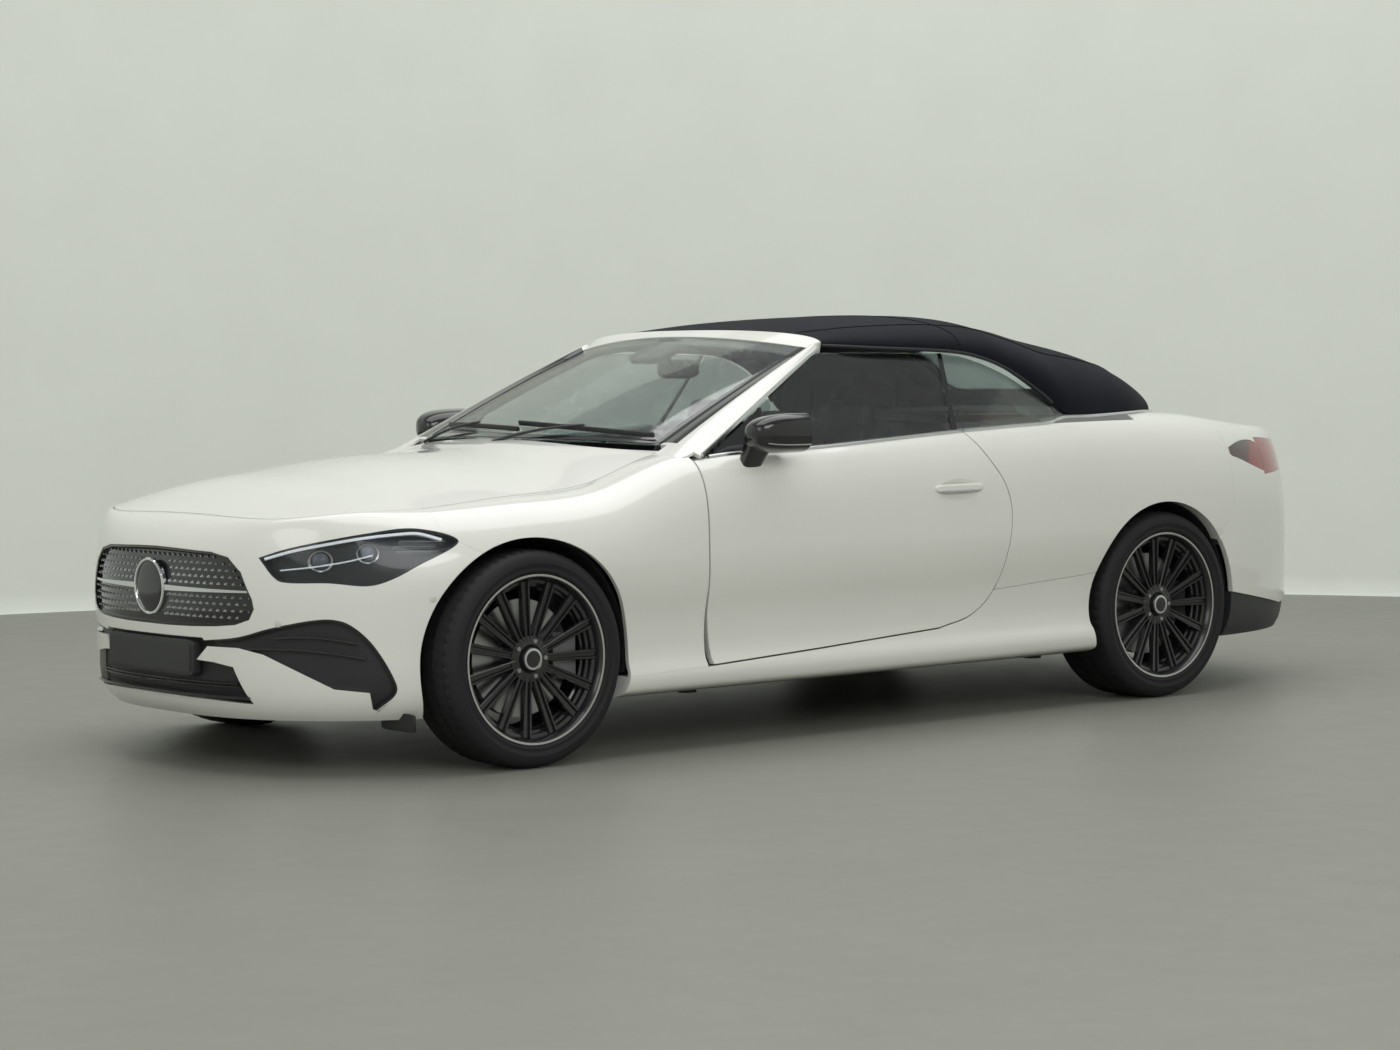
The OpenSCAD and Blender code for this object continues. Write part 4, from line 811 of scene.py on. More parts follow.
def quarters():
    """Rear quarter: thick side wall behind the door, open over the wheel."""
    x = steps(16, X_DR - 161 * MM, XR - 60 * MM)
    rear = mm([(-60, 2000), (390, 2000), (390, 700), (300, 560), (300, 300), (0, 300)]) + (XR, 0)
    foot = [(XR - 260 * MM, 482 * MM), (X_DR - 60 * MM, 444 * MM)]
    front = [p for p in door_rear(GAP / 2) if 442 * MM < p[1] < 980 * MM]
    edge = np.vstack([np.stack([x, belt(x)], 1), rear, foot, front])
    mesh = carve(side_shell(X_DR - 0.2, XR + 0.4, 110, 45 * MM), [*arches(0.5, 1.0)],
                 [prism(edge, SIDE_VIEW, -1, -0.5)])
    return piece("rear_quarter_panels", both(mesh), "body", PAINT, ["rear_quarters"])


def sills():
    """Sill: the flank's lowest part on a flat inner face, from arch to arch below door and quarter."""
    x, z = steps(60, XF + 0.3, XR - 0.25)[:, None], steps(40, SILL_Z, 0.56)[None]
    y = side_y(x, z)
    outer = np.stack(np.broadcast_arrays(x, -y, z), 2)
    inner = np.stack(np.broadcast_arrays(x, -SILL_IN + 0 * y, z), 2)
    line = mm([(330, 257), (717, 269), (1189, 291)]) + (XF, 0)
    rear = [p - (-2 * MM, GAP / 2) for p in door_rear(0) if 326 * MM < p[1] < 446 * MM]
    foot = [(X_DR - 60 * MM, 443 * MM), (XR - 260 * MM, 481 * MM), (XR - 0.25, SILL_Z)]
    edge = np.vstack([[(XF + 0.3, SILL_Z)], line, [(X_DR - 326 * MM, 322 * MM)], rear, foot])
    mesh = carve(shell(outer, inner), arches(0.0, 2.0), [prism(edge, SIDE_VIEW, -1, 0)])
    return piece("sill_panels", both(mesh), "body", PAINT, ["sills"])


def front_bumper():
    """Nose: one wall round the plan, open at grille, mouth, lamps and intakes; the blade stays across."""
    seam = mm([(-158.3, 100), (-158.3, 668), (-278.3, 738), (-278.3, 2000)]) + (XF, 0)
    edge = np.vstack([[(X_NOSE - 0.1, 0.1)], seam, [(X_NOSE - 0.1, 2.0)]])
    hollow = carve(prism(INTAKE, FRONT_CORNER, *FRONT_DEPTH), [prism(BLADE, FRONT_CORNER, -2.4, -1.3)])
    cuts = [*arches(), bonnet_space(GAP - 1 * MM), prism(whole(GRILLE_HALF), FRONT_VIEW, *FRONT_REACH),
            prism(whole(MOUTH_HALF), FRONT_VIEW, *FRONT_REACH), *pair(lamp_hole()), *pair(hollow)]
    mesh = carve(end_shell(-1, FRONT_OPEN, SKIN + 6 * MM), cuts, [prism(edge, SIDE_VIEW, -1, 1)])
    return piece("front_bumper_skin", mesh, "body", PAINT, ["front_bumper"])


def tail_solids(d):
    """The two prisms of each tail lamp: one seen from the corner, one from behind."""
    corner = carve(prism(grown(TAIL, d), TAIL_CORNER, -0.3, 0.9),
                   within=[prism([(XR, -1), (XR + 0.68, -1), (XR + 0.68, 1), (XR, 1)], PLAN, 0.7, 1.1)])
    back = prism(grown(TAIL_BACK, d), FRONT_VIEW, XR + 0.64, X_TAIL + 0.06)
    return [corner, right(corner), back, right(back)]


def lid_face(d):
    """Room of the boot lid's upright part, drawn in by d, seen from behind."""
    w = LID_W - d
    return prism([(-w, 0.7 + d), (w, 0.7 + d), (w, 1.2), (-w, 1.2)], FRONT_VIEW, XR + 0.6, X_TAIL + 0.06)


def rear_seam():
    """Room of the rear bumper in side view."""
    edge = mm([(300.3, 380), (300.3, 560), (390.3, 700), (390.3, 1200), (1300, 1200), (1300, 300),
               (760, 300)]) + (XR, 0)
    return prism(edge, SIDE_VIEW, -1, 1)


def deck_space(d):
    """Room over the deck's plan, moved out by d."""
    half = DECK_W - 0.8 * MM
    y = cross_y(60, half)
    edge = np.vstack([np.stack([lid_end(y) - 3 * MM, y], 1), [(XR, half), (XR, -half)]])
    return prism(grown(edge, d), PLAN, 0.85, 1.15)


def rear_bumper():
    """Tail: one wall round the plan, open for the lid and the lamps."""
    cuts = [*arches(), lid_face(0), *tail_solids(0), deck_space(HAIR)]
    mesh = carve(end_shell(1, REAR_OPEN, SKIN + 6 * MM), cuts, [rear_seam()])
    return piece("rear_bumper_skin", mesh, "body", PAINT, ["rear_bumper"])


def rear_valance():
    """Grained wall below the rear bumper, set in from it."""
    edge = mm([(300.3, 379.7), (760, 299.7), (1300, 299.7), (1300, 200), (300, 200)]) + (XR, 0)
    mesh = carve(end_shell(1, REAR_OPEN, 40 * MM, 8 * MM, foot=0.2), arches(),
                 [prism(edge, SIDE_VIEW, -1, 1)])
    return piece("rear_valance_skin", mesh, "body", VALANCE, ["rear_valance"])


def deck_panel():
    """Deck between the quarters, open where the boot lid lies."""
    hole = slab(X_LID - LID_GAP, X_LID + 2, -LID_W - GAP, LID_W + GAP, 0.8, 1.2)
    start, end = lambda y: XR + 120 * MM + 0 * y, lambda y: lid_end(y) - 3 * MM
    skin = shell(*[deck_grid(start, end, DECK_W - 0.8 * MM, 60, 60, d) for d in (0, SKIN)])
    return piece("deck_skin", carve(skin, [hole]), "body", PAINT, ["deck_panel"])


def boot_lid():
    """Boot lid: the deck's middle and the upper tail as one, with slots for the hinges' cheeks."""
    hinge_z, hinge_y, cheek, half = hinge["boot_lid_hinge"][2], 540 * MM, 17 * MM, 9 * MM
    start, end = lambda y: XR + 300 * MM + 0 * y, lambda y: lid_end(y) + 6 * MM
    skin = shell(*[deck_grid(start, end, DECK_W - 20 * MM, 50, 50, d) for d in (0, SKIN + 4 * MM)])
    top = carve(skin, within=[slab(X_LID, X_LID + 2, -LID_W, LID_W, 0.8, 1.2)])
    face = carve(end_shell(1, REAR_OPEN, SKIN + 6 * MM), within=[lid_face(GAP)])
    slots = [slab(X_LID - 1 * MM, X_LID + 26 * MM, y - half, y + half, hinge_z - 60 * MM, hinge_z + 30 * MM)
             for s in (-1, 1) for y in (s * hinge_y - cheek, s * hinge_y + cheek)]
    return piece("boot_lid_skin", joined(carve(top, slots), face), "boot_lid", PAINT, ["boot_lid"])


def bonnet():
    """Bonnet skin between the shoulders; its arms stay those of the hinge."""
    skin = shell(*[deck_grid(bonnet_end, bonnet_back, DECK_W - GAP, 120, 80, d) for d in (0, SKIN + 2 * MM)])
    pin, arm_y, arm_t = hinge["bonnet_hinge"][[0, 2]], 606 * MM, 6 * MM
    eye = circle(12 * MM, 32) + pin
    outline = np.vstack([eye[24:], eye[:17], mm([(560, 942), (560, 912)]) + (XF, 0)])
    arms = [prism(outline, SIDE_VIEW, y - arm_t, y + arm_t) for y in (-arm_y, arm_y)]
    return piece("bonnet_skin", joined(skin, *arms), "bonnet", PAINT, ["bonnet"])


def glass_axes():
    """Axes of the side glass's plane, which leans in as it rises."""
    n = np.array([0, -1, GLASS_LEAN]) / np.hypot(1, GLASS_LEAN)
    return np.array([1, 0, 0]), np.array([0, GLASS_LEAN, 1.0]), n


def glass_plate(outline, d0, d1):
    """Plate in the side glass's leaning plane; the outline is in side view."""
    a, u, n = glass_axes()
    v, f = prism(np.asarray(outline) - (0, GLASS_Z), (a, u, n), d0, d1)
    return v + (0, -GLASS_Y, GLASS_Z), f


def door_glass_outline(d=0.0):
    """Door glass in side view, down into the door, moved out by d."""
    low = lambda x: (x, belt(x) - 60 * MM)
    edge = [low(X_DF + 0.093), (X_DF + 0.093, 0.958), (X_DF + 0.712, 1.276), (X_DF + 0.957, 1.277),
            (X_DR - 0.09, 1.268), (X_DR - 0.184, 1.005), low(X_DR - 0.2)]
    return grown(edge, d)


def rear_glass_outline(d=0.0):
    """Quarter glass in side view: a smooth line down the roof's edge, moved out by d."""
    low = lambda x: (x, belt(x) - 30 * MM)
    top = line_through([(X_DR - 0.072, 1.266), (X_DR + 0.02, 1.254), (X_DR + 0.12, 1.222),
                        (X_DR + 0.21, 1.178), (X_DR + 0.3, 1.116), (X_DR + 0.36, 1.064)], 4)
    return grown(np.vstack([[low(X_DR - 0.142), (X_DR - 0.15, belt(X_DR - 0.15) + 10 * MM)], top,
                            [low(X_DR + 0.372)]]), d)


def doors():
    """Door: outer skin, smaller inner box, a slot for the glass, hinge pockets and a dish at the handle."""
    cut = lambda d: prism(door_outline(d), SIDE_VIEW, -1.085, -HALF_W + 145 * MM)
    skin = carve(side_shell(X_DF, X_DR + 5 * MM, 110, 26 * MM), within=[cut(GAP / 2)])
    box = carve(side_shell(X_DF, X_DR + 5 * MM, 60, 100 * MM, out=-25 * MM), within=[cut(28 * MM)])
    slot = glass_plate(door_glass_outline(HAIR), -GLASS_T - HAIR, HAIR)
    pocket_end, pocket_y = hinge["door_left_hinge"][0] + 15 * MM, (-HINGE_Y - 8 * MM, -HINGE_Y + 162 * MM)
    pockets = [slab(X_DF - 5 * MM, pocket_end, *pocket_y, z - 7 * MM, z + 37 * MM) for z in (0.596, 0.742)]
    dish = superbox((HANDLE_X, -HALF_W - 33 * MM, HANDLE_Z - 1 * MM), mm((150, 50, 54)), 2.0, 96, 48)
    skin, card = carve(skin, [slot, dish, *pockets]), carve(box, [slot, *pockets])
    for side, put in (("left", lambda part: part), ("right", right)):
        piece(f"door_panel_{side}", put(skin), f"door_{side}", PAINT, [f"door_{side}"])
        piece(f"door_card_{side}", put(card), f"door_{side}", DASH)


def windscreen_frame():
    """Pillars and header as one: the windscreen's surface past its edges, as a thick wall."""
    across, over = np.cos(np.pi * steps(48)), steps(8, 1, 2)
    us, vs = np.sign(across) * np.abs(across) ** (2 / 2.4), np.concatenate([steps(40, -0.01, 1), over[1:]])
    wall = lambda u, v: shell(pane_grid(u, v, 0), pane_grid(u, v, 38 * MM))
    header, pillar = wall(us, over), wall(steps(14, -1, -1.25), vs)
    return piece("windscreen_surround", joined(header, both(pillar)), "body", PAINT, ["windscreen_frame"])


def pillar_feet():
    """Foot of each pillar: a curve that runs on from the pillar's slope and dies into the fender."""
    u, t = steps(16, -1.042, -1.21), steps(14)[:, None, None]
    start, above = pane(u, np.full(17, 0.02)), pane(u, np.full(17, 0.1))
    fall = (start - above) / np.linalg.norm(start - above, axis=1)[:, None]
    bend = start + fall * 45 * MM
    end = bend + np.stack([np.full(17, -48 * MM), np.linspace(0, 12 * MM, 17), np.zeros(17)], 1)
    end[:, 2] = body_top(end[:, 0], end[:, 1]) - 1.5 * MM
    bend[:, 2] = np.maximum(bend[:, 2], end[:, 2] + 4 * MM)
    skin = (1 - t) ** 2 * start + 2 * t * (1 - t) * bend + t**2 * end
    skin = skin.transpose(1, 0, 2)[::-1]
    return piece("pillar_feet", both(shell(skin[:, ::-1], skin[:, ::-1] + (6 * MM, 0, -7 * MM))), "body",
                 PAINT)


def windows():
    """Windscreen and side glass as thin plates."""
    us, vs = steps(60, 0.9985, -0.9985), steps(30, 0, 0.998)
    piece("windscreen_pane", shell(pane_grid(us, vs, 2 * MM), pane_grid(us, vs, 8 * MM)), "body",
          SCREEN_GLASS, ["windscreen"])
    plate = glass_plate(door_glass_outline(), -GLASS_T, 0)
    piece("door_window_left", plate, "door_left", TINTED, ["door_glass_left"])
    piece("door_window_right", right(plate), "door_right", TINTED, ["door_glass_right"])
    piece("quarter_windows", both(glass_plate(rear_glass_outline(), -GLASS_T, 0)), "body", TINTED,
          ["quarter_glass"])


def rear_pane(d):
    """Rear window's opening, seen from behind, with its corners rounded."""
    middle_z, cut, bow = 1.2, 40 * MM, 12 * MM

    def corner(x, z):
        """Smooth line round the corner at x and z."""
        sx, sz = np.sign(x), np.sign(z - middle_z)
        return line_through([(x - cut * sx, z), (x - bow * sx, z - bow * sz), (x, z - cut * sz)], 4)

    edge = np.vstack([corner(-0.43, 1.118)[::-1], corner(0.43, 1.118), corner(0.36, 1.29)[::-1],
                      corner(-0.36, 1.29)])
    return prism(grown(edge, d), FRONT_VIEW, XR - 0.1, XR + 0.4)


def roof_level(drop):
    """Roof's surface lowered by drop, sagging between its bows: sine squared along it, sine across it."""
    row = steps(ROOF_ROWS, 0, len(ROOF) - 1)[:, None, None]
    across = np.sin(np.pi * steps(ROOF_COLUMNS))[None, :, None] ** 0.7
    fade = np.clip((10.4 - row) / 2, 0, 1)
    sag = 4 * MM * np.sin(np.pi * (row * 0.5 + 0.15)) ** 2 * fade * across
    return roof_grid(ROOF_ROWS, ROOF_COLUMNS, drop) - sag * (0, 0, 1)


def roof_wall(drop, thick, cuts=(), within=()):
    """Layer of the roof between two levels, carved."""
    return carve(shell(roof_level(drop), roof_level(drop + thick)), cuts, within)


def lay_weave(mesh):
    """UV of the cloth in metres: along the roof, and round it by the width plus the fall below the crown."""
    uv = mesh.uv_layers.new(name="UVMap")
    at = points_of(mesh)
    of_loop = np.empty(len(mesh.loops), np.int32)
    mesh.loops.foreach_get("vertex_index", of_loop)
    girth = at[:, 1] + np.sign(at[:, 1]) * np.clip(1.35 - at[:, 2], 0, None)
    uv.data.foreach_set("uv", np.stack([at[:, 0], girth], 1)[of_loop].astype(np.float32).ravel())


def rear_window():
    """Rear window under the cloth's edge, with a thin rim over it."""
    pane_mesh = roof_wall(SHEET_T, GLASS_T, within=[rear_pane(-HAIR)])
    piece("rear_window_pane", pane_mesh, "body", TINTED, ["rear_window"])
    rim_mesh = roof_wall(-1.5 * MM, 9.5 * MM, [rear_pane(-5 * MM)], [rear_pane(4 * MM)])
    return piece("rear_window_rim", rim_mesh, "body", SATIN_BLACK)


def roof_inside():
    """Lining, and the bows that carry the cloth."""
    piece("roof_lining", roof_wall(ROOF_T - 5 * MM, 5 * MM, [rear_pane(0)]), "body", LINING)
    bows = [swept(roof_level(15 * MM)[k], circle(6 * MM), up=(1, 0, 0)) for k in (20, 44, 68, 90)]
    piece("roof_bows", joined(*bows), "body", SATIN_BLACK)


def roof_edges(outer):
    """Two welts along the cloth and one across it, and the seals along the rails."""
    lift = (0, 0, 0.5 * MM)
    welts = [swept(outer[2:124, k] + lift, circle(2.6 * MM, 10)) for k in (22, 74)]
    welts.append(swept(outer[28, 3:-3] + lift, circle(2.2 * MM, 10), up=(1, 0, 0)))
    seals = both(swept(outer[:66, 0] + (0, -1 * MM, -5 * MM), circle(6 * MM, 16)))
    seams = piece("roof_seams", joined(*welts), "body", ROOF_CLOTH)
    piece("roof_seals", seals, "body", SATIN_BLACK)
    return seams


def cloth_top():
    """Cloth roof: one sheet stretched over its bows, with a UV for its weave and the window let in."""
    outer = roof_level(0)
    sheet = roof_wall(0, SHEET_T, [rear_pane(0)])
    top = piece("cloth_top", sheet, "body", ROOF_CLOTH, ["cloth_roof"])
    lay_weave(top.data)
    window_rim = rear_window()
    roof_inside()
    seams = roof_edges(outer)


fenders()
quarters()
sills()
front_bumper()
rear_bumper()
rear_valance()
deck_panel()
boot_lid()
bonnet()
doors()
windscreen_frame()
pillar_feet()
windows()
cloth_top()


# Lamps, grille and intakes

NOSE = end_grid(-1, FRONT_OPEN, 0, 240, 60, 60)
NOSE_LEFT = NOSE[NOSE[:, 0, 1] <= 0]


def corner_point(p, q, depth):
    """Places behind the lamp's skin, seen square to the corner."""
    seen = np.column_stack(np.broadcast_arrays(p, q))
    return drop_on(seen, FRONT_CORNER, NOSE_LEFT) + depth * FRONT_CORNER[2]


def headlamps():
    """Headlamp: a dark bowl behind a smoked lens, a bright strip along its upper edge, two projectors in
    bezels and ribbed steps.
    """
    lens = carve(end_shell(-1, FRONT_OPEN, 3 * MM, 1 * MM), within=[lamp_hole(-0.5 * MM)])
    piece("headlamp_lenses", both(lens), "body", LENS)
    room = carve(end_shell(-1, FRONT_OPEN, 45 * MM, -5 * MM), within=[lamp_hole(-6 * MM)])
    bowl = carve(end_shell(-1, FRONT_OPEN, 54 * MM, 5 * MM), [room], [lamp_hole(-0.4 * MM)])
    piece("headlamp_bowls", both(bowl), "body", LAMP_BOWL, ["headlamps"])
    edge = line_through(mm([(-1646, 536), (-1559, 558), (-1450, 577), (-1342, 593), (-1240, 603),
                            (-1180, 604), (-1110, 585)]), 10)
    strip = swept(corner_point(edge[:, 0], edge[:, 1], 9 * MM),
                  mm([(-4, -4.5), (4, -4.5), (4, 4.5), (-4, 4.5)]), up=FRONT_CORNER[2])
    low = line_through(mm([(-1600, 500), (-1500, 508), (-1400, 522), (-1320, 540)]), 8)
    under = swept(corner_point(low[:, 0], low[:, 1], 22 * MM), mm([(-2, -3), (2, -3), (2, 3), (-2, 3)]),
                  up=FRONT_CORNER[2])
    piece("daytime_strips", both(joined(strip, under)), "body", LED)
    out = facing(-FRONT_CORNER[2], FRONT_CORNER[0])
    a = np.pi / 2 * steps(10)
    dome = np.stack([26 * MM * np.sin(a), 16 * MM * np.cos(a)], 1)[::-1]
    bezel = ring(mm([(26, -4), (34, -4), (36, 2), (33, 9), (28, 6)]), 48)
    domes, bezels = [], []
    for at, size in (((-1.478, 0.525), 1.0), ((-1.335, 0.545), 0.92)):
        place = corner_point(*at, 32 * MM)[0]
        domes.append(turned(revolve(np.vstack([[(0, -2 * MM)], dome]), 40), out * size, place))
        bezels.append(turned(bezel, out * size * (1.15, 1, 1), place))
    piece("headlamp_projectors", both(joined(*domes)), "body", LENS_DEEP)
    piece("headlamp_bezels", both(joined(*bezels)), "body", CHROME)
    rib = mm([(-1.5, -4), (1.5, -4), (1.5, 4), (-1.5, 4)])
    ribs = [swept(corner_point(np.linspace(x0, x1, 12), np.full(12, q), 40 * MM), rib, up=FRONT_CORNER[2])
            for x0, x1, q in ((-1.25, -1.12, 0.55), (-1.26, -1.13, 0.565), (-1.24, -1.1, 0.58))]
    piece("headlamp_ribs", both(joined(*ribs)), "body", BRIGHT)


def grille():
    """Grille: dark back, border, bright bars beside a plain disc with its ring, rows of triangular pins."""
    edge = whole(GRILLE_HALF)
    back = carve(end_shell(-1, FRONT_OPEN, 26 * MM, 15 * MM),
                 within=[prism(grown(edge, -HAIR), FRONT_VIEW, *FRONT_REACH)])
    border = carve(end_shell(-1, FRONT_OPEN, 16 * MM, 3 * MM),
                   [prism(grown(edge, -7 * MM), FRONT_VIEW, *FRONT_REACH)],
                   [prism(grown(edge, -HAIR), FRONT_VIEW, *FRONT_REACH)])
    piece("grille_back", joined(back, border), "body", GLOSS_BLACK, ["grille"])
    bar = mm([(90, 562), (468, 567), (474, 570), (468, 573), (90, 579)])
    bars = [carve(end_shell(-1, FRONT_OPEN, 9 * MM, 4 * MM),
                  within=[prism(bar * (s, 1), FRONT_VIEW, *FRONT_REACH)])
            for s in (-1, 1)]
    piece("grille_bars", joined(*bars), "body", BRIGHT)
    k, c = np.meshgrid(np.arange(-6, 7), np.arange(-17, 18), indexing="ij")
    at = np.stack([(c + 0.5 * (k % 2)) * 30 * MM, BADGE_Z + k * 20.5 * MM], 2)[k != 0]
    at = at[inside(at, grown(edge, -13 * MM)) & (np.hypot(at[:, 0], at[:, 1] - BADGE_Z) > BADGE_R + 14 * MM)]
    pins = studs(drop_on(at, FRONT_VIEW, NOSE) + (16 * MM, 0, 0), (-1, 0, 0), 6.4 * MM, 3.2 * MM, 8 * MM,
                 turn=-np.pi / 2)
    piece("grille_pins", pins, "body", BRIGHT)
    place, out = (X_NOSE + 14 * MM, 0, BADGE_Z), facing((-1, 0, 0), (0, 1, 0))
    disc = revolve(mm([(0, -10), (84, -10), (84, 4), (80, 5.5), (60, 7.2), (30, 8.4), (0, 8.8)]), 96)
    piece("grille_disc", turned(disc, out, place), "body", GLOSS_BLACK)
    band = ring(mm([(80.5, -4), (90, -4), (90.5, 6), (87.5, 10), (83, 10), (80.5, 7)]), 120)
    piece("grille_disc_ring", turned(band, out, place), "body", CHROME)


def intakes():
    """Black backs of the mouth and of the side intakes, thin slats across them and a lip under the mouth."""
    w, h = PLATE_HALF + HAIR
    plate = slab(X_NOSE - 10 * MM, X_NOSE + 40 * MM + HAIR, -w, w, PLATE_Z - h, PLATE_Z + h)
    back = end_shell(-1, FRONT_OPEN, 26 * MM, SKIN + 6.3 * MM)
    mouth = carve(back, [plate], [prism(grown(whole(MOUTH_HALF), 14 * MM), FRONT_VIEW, *FRONT_REACH)])
    corner = carve(back, within=[prism(grown(INTAKE, 12 * MM), FRONT_CORNER, *FRONT_DEPTH)])
    piece("intake_backs", joined(mouth, both(corner)), "body", SATIN_BLACK, ["front_intakes"])
    slats, t = [], steps(24)
    for (p0, q0), (p1, q1) in (((-1.7, 0.262), (-1.345, 0.225)), ((-1.62, 0.293), (-1.372, 0.272))):
        path = corner_point(mix(p0, p1, t), mix(q0, q1, t) + 10 * MM * np.sin(np.pi * t), 15 * MM)
        slats.append(swept(path, mm([(-9, -3), (9, -2), (9, 2), (-9, 3)]), up=FRONT_CORNER[1]))
    edge = INTAKE[4:]
    lip = swept(corner_point(edge[:, 0], edge[:, 1], 6 * MM), mm([(-5, -4), (5, -4), (6, 3), (-5, 4)]),
                up=-FRONT_CORNER[2])
    piece("intake_slats", both(joined(*slats, lip)), "body", GLOSS_BLACK)

    def level_bar(half, z, n, depth, profile):
        """Level bar across the nose at height z, set back by depth."""
        y = steps(n, -half, half)
        path = drop_on(np.column_stack([y, np.full_like(y, z)]), FRONT_VIEW, NOSE) + (depth, 0, 0)
        return swept(path, mm(profile), up=(0, 0, 1))

    lip_profile = [(-12, -4), (2, -5), (5, 0), (2, 5), (-12, 4)]
    bar_profile = [(-6, -1.5), (4, -1.5), (4, 1.5), (-6, 1.5)]
    bars = [level_bar(half, z, 40, 16 * MM, bar_profile) for half, z in ((0.42, 0.275), (0.41, 0.285))]
    piece("mouth_lip", joined(level_bar(0.455, 0.243, 60, 4 * MM, lip_profile), *bars), "body", GLOSS_BLACK)


def number_plate():
    """Blank dark plate in a shallow frame."""
    w, h = PLATE_HALF
    holder = superbox((PLATE_X + 20 * MM, 0, PLATE_Z), (19 * MM, w, h), 14, 96, 32)
    piece("plate_frame", holder, "body", SATIN_BLACK, ["plate_holder"])
    blank = superbox((PLATE_X + 2.4 * MM, 0, PLATE_Z + 2 * MM), (2.5 * MM, w - 10 * MM, h - 10.5 * MM), 14,
                     96, 32)
    piece("plate_blank", blank, "body", PLATE)


def sensors():
    """Parking sensors: small round buttons in the bumper's skin, and the flaps ahead of the front wheels."""
    at = drop_on([(-1.924, 0.544)], SIDE_VIEW, NOSE_LEFT)
    button = revolve(mm([(0, -3), (11, -3), (11, 0.4), (9.5, 1.2), (0, 1.4)]), 32)
    flank = turned(button, facing((-0.35, -0.93, 0)), at[0])
    nose = turned(button, facing((-1, -0.504, 0)), drop_on([(-0.56, 0.475)], FRONT_VIEW, NOSE)[0])
    piece("parking_sensors", both(joined(flank, nose)), "body", SENSOR)
    flap = superbox((-1.985, -0.74, 0.165), (5 * MM, 0.09, 0.028), 8, 40, 16)
    piece("wheel_flaps", both(flap), "body", SATIN_BLACK)


def tail_lamps():
    """Tail lamp: a red lens, smoked at its front tip, over the corner and the back."""
    lens = [carve(end_shell(1, REAR_OPEN, 50 * MM, 1 * MM), [lid_face(0)], [t, rear_seam()])
            for t in tail_solids(-HAIR)[::2]]
    tip = prism([(1.7, 0.7), (1.822, 0.7), (1.846, 1.05), (1.7, 1.05)], TAIL_CORNER, -0.4, 1.0)
    piece("tail_lamp_lenses", both(joined(carve(lens[0], [tip]), lens[1])), "body", RED_LENS, ["tail_lamps"])
    piece("tail_lamp_tips", both(carve(lens[0], within=[tip])), "body", SMOKED)


headlamps()
grille()
intakes()
number_plate()
sensors()
tail_lamps()


# Bright trim, mirrors, handles and wipers

def sides(name, part, material, stands_for=None):
    """A part on each door."""
    for side, put in (("left", lambda q: q), ("right", right)):
        piece(f"{name}_{side}", put(part), f"door_{side}", material,
              [f"{stands_for}_{side}"] if stands_for else ())


def strips():
    """Bright strips along the belt of doors and quarters to the roof's foot and up the pillars, and the
    grey filler beside the roof.
    """
    bar = mm([(-4, -5), (5, -5), (5, 2), (2, 6), (-4, 6)])
    x = steps(40, X_DF + 64 * MM, X_DR - 182 * MM)
    sides("belt_strip", swept(np.stack([x, -side_y(x, belt(x)) + 1 * MM, belt(x) + 3 * MM], 1), bar), BRIGHT)
    x = steps(60, X_DR - 158 * MM, 1.5)
    foot = read(ROOF, 1, x - XF) + 12 * MM
    s = np.clip((x - X_DR - 0.26) / 0.2, 0, 1)
    s = s * s * (3 - 2 * s)
    y, z = mix(side_y(x, belt(x)) - 1 * MM, foot, s), mix(belt(x) + 3 * MM, body_top(x, foot) + 2 * MM, s)
    quarter = swept(np.stack([x, -y, z], 1), bar)
    pillar = swept(pane(np.full(41, -1.25), steps(40)) + (0, -3 * MM, -2 * MM),
                   mm([(-4, -5), (4, -5), (4, 5), (-4, 5)]))
    piece("body_strips", both(joined(quarter, pillar)), "body", BRIGHT)
    x = steps(50, X_DR + 0.27, XR + 0.1)[:, None]
    low, high, t = side_y(x, belt(x)) - 3 * MM, read(ROOF, 1, x - XF) - 14 * MM, steps(8)[None]
    z = mix(belt(x) - 6 * MM, body_top(x, high) + 3 * MM, np.sin(np.pi / 2 * t))
    skin = np.stack(np.broadcast_arrays(x, -mix(low, high, t), z), 2)
    piece("roof_foot_trim", both(shell(skin, skin - (0, 0, 8 * MM))), "body", GREY_TRIM)


def window_trim():
    """Black sail plate with its divider ahead of each door glass, and the strip on the glass's rear edge."""
    x0, x1 = X_DF + 94 * MM, X_DF + 290 * MM
    sail = glass_plate([(x0, belt(x0) - 5 * MM), (x0, 0.958), (X_DF + 358 * MM, 1.0935),
                        (x1, belt(x1) - 5 * MM)], 0.2 * MM, 3 * MM)
    divider = glass_plate([(x1 - 8 * MM, 0.94), (x1 + 8 * MM, 0.94), (X_DF + 367 * MM, 1.094),
                           (X_DF + 353 * MM, 1.094)], 0.1 * MM, 7 * MM)
    rear = glass_plate([(X_DR - 181 * MM, 1.0), (X_DR - 94 * MM, 1.268), (X_DR - 76 * MM, 1.267),
                        (X_DR - 155 * MM, 1.0)], 0.2 * MM, 3 * MM)
    sides("window_plates", joined(sail, divider, rear), GLOSS_BLACK)


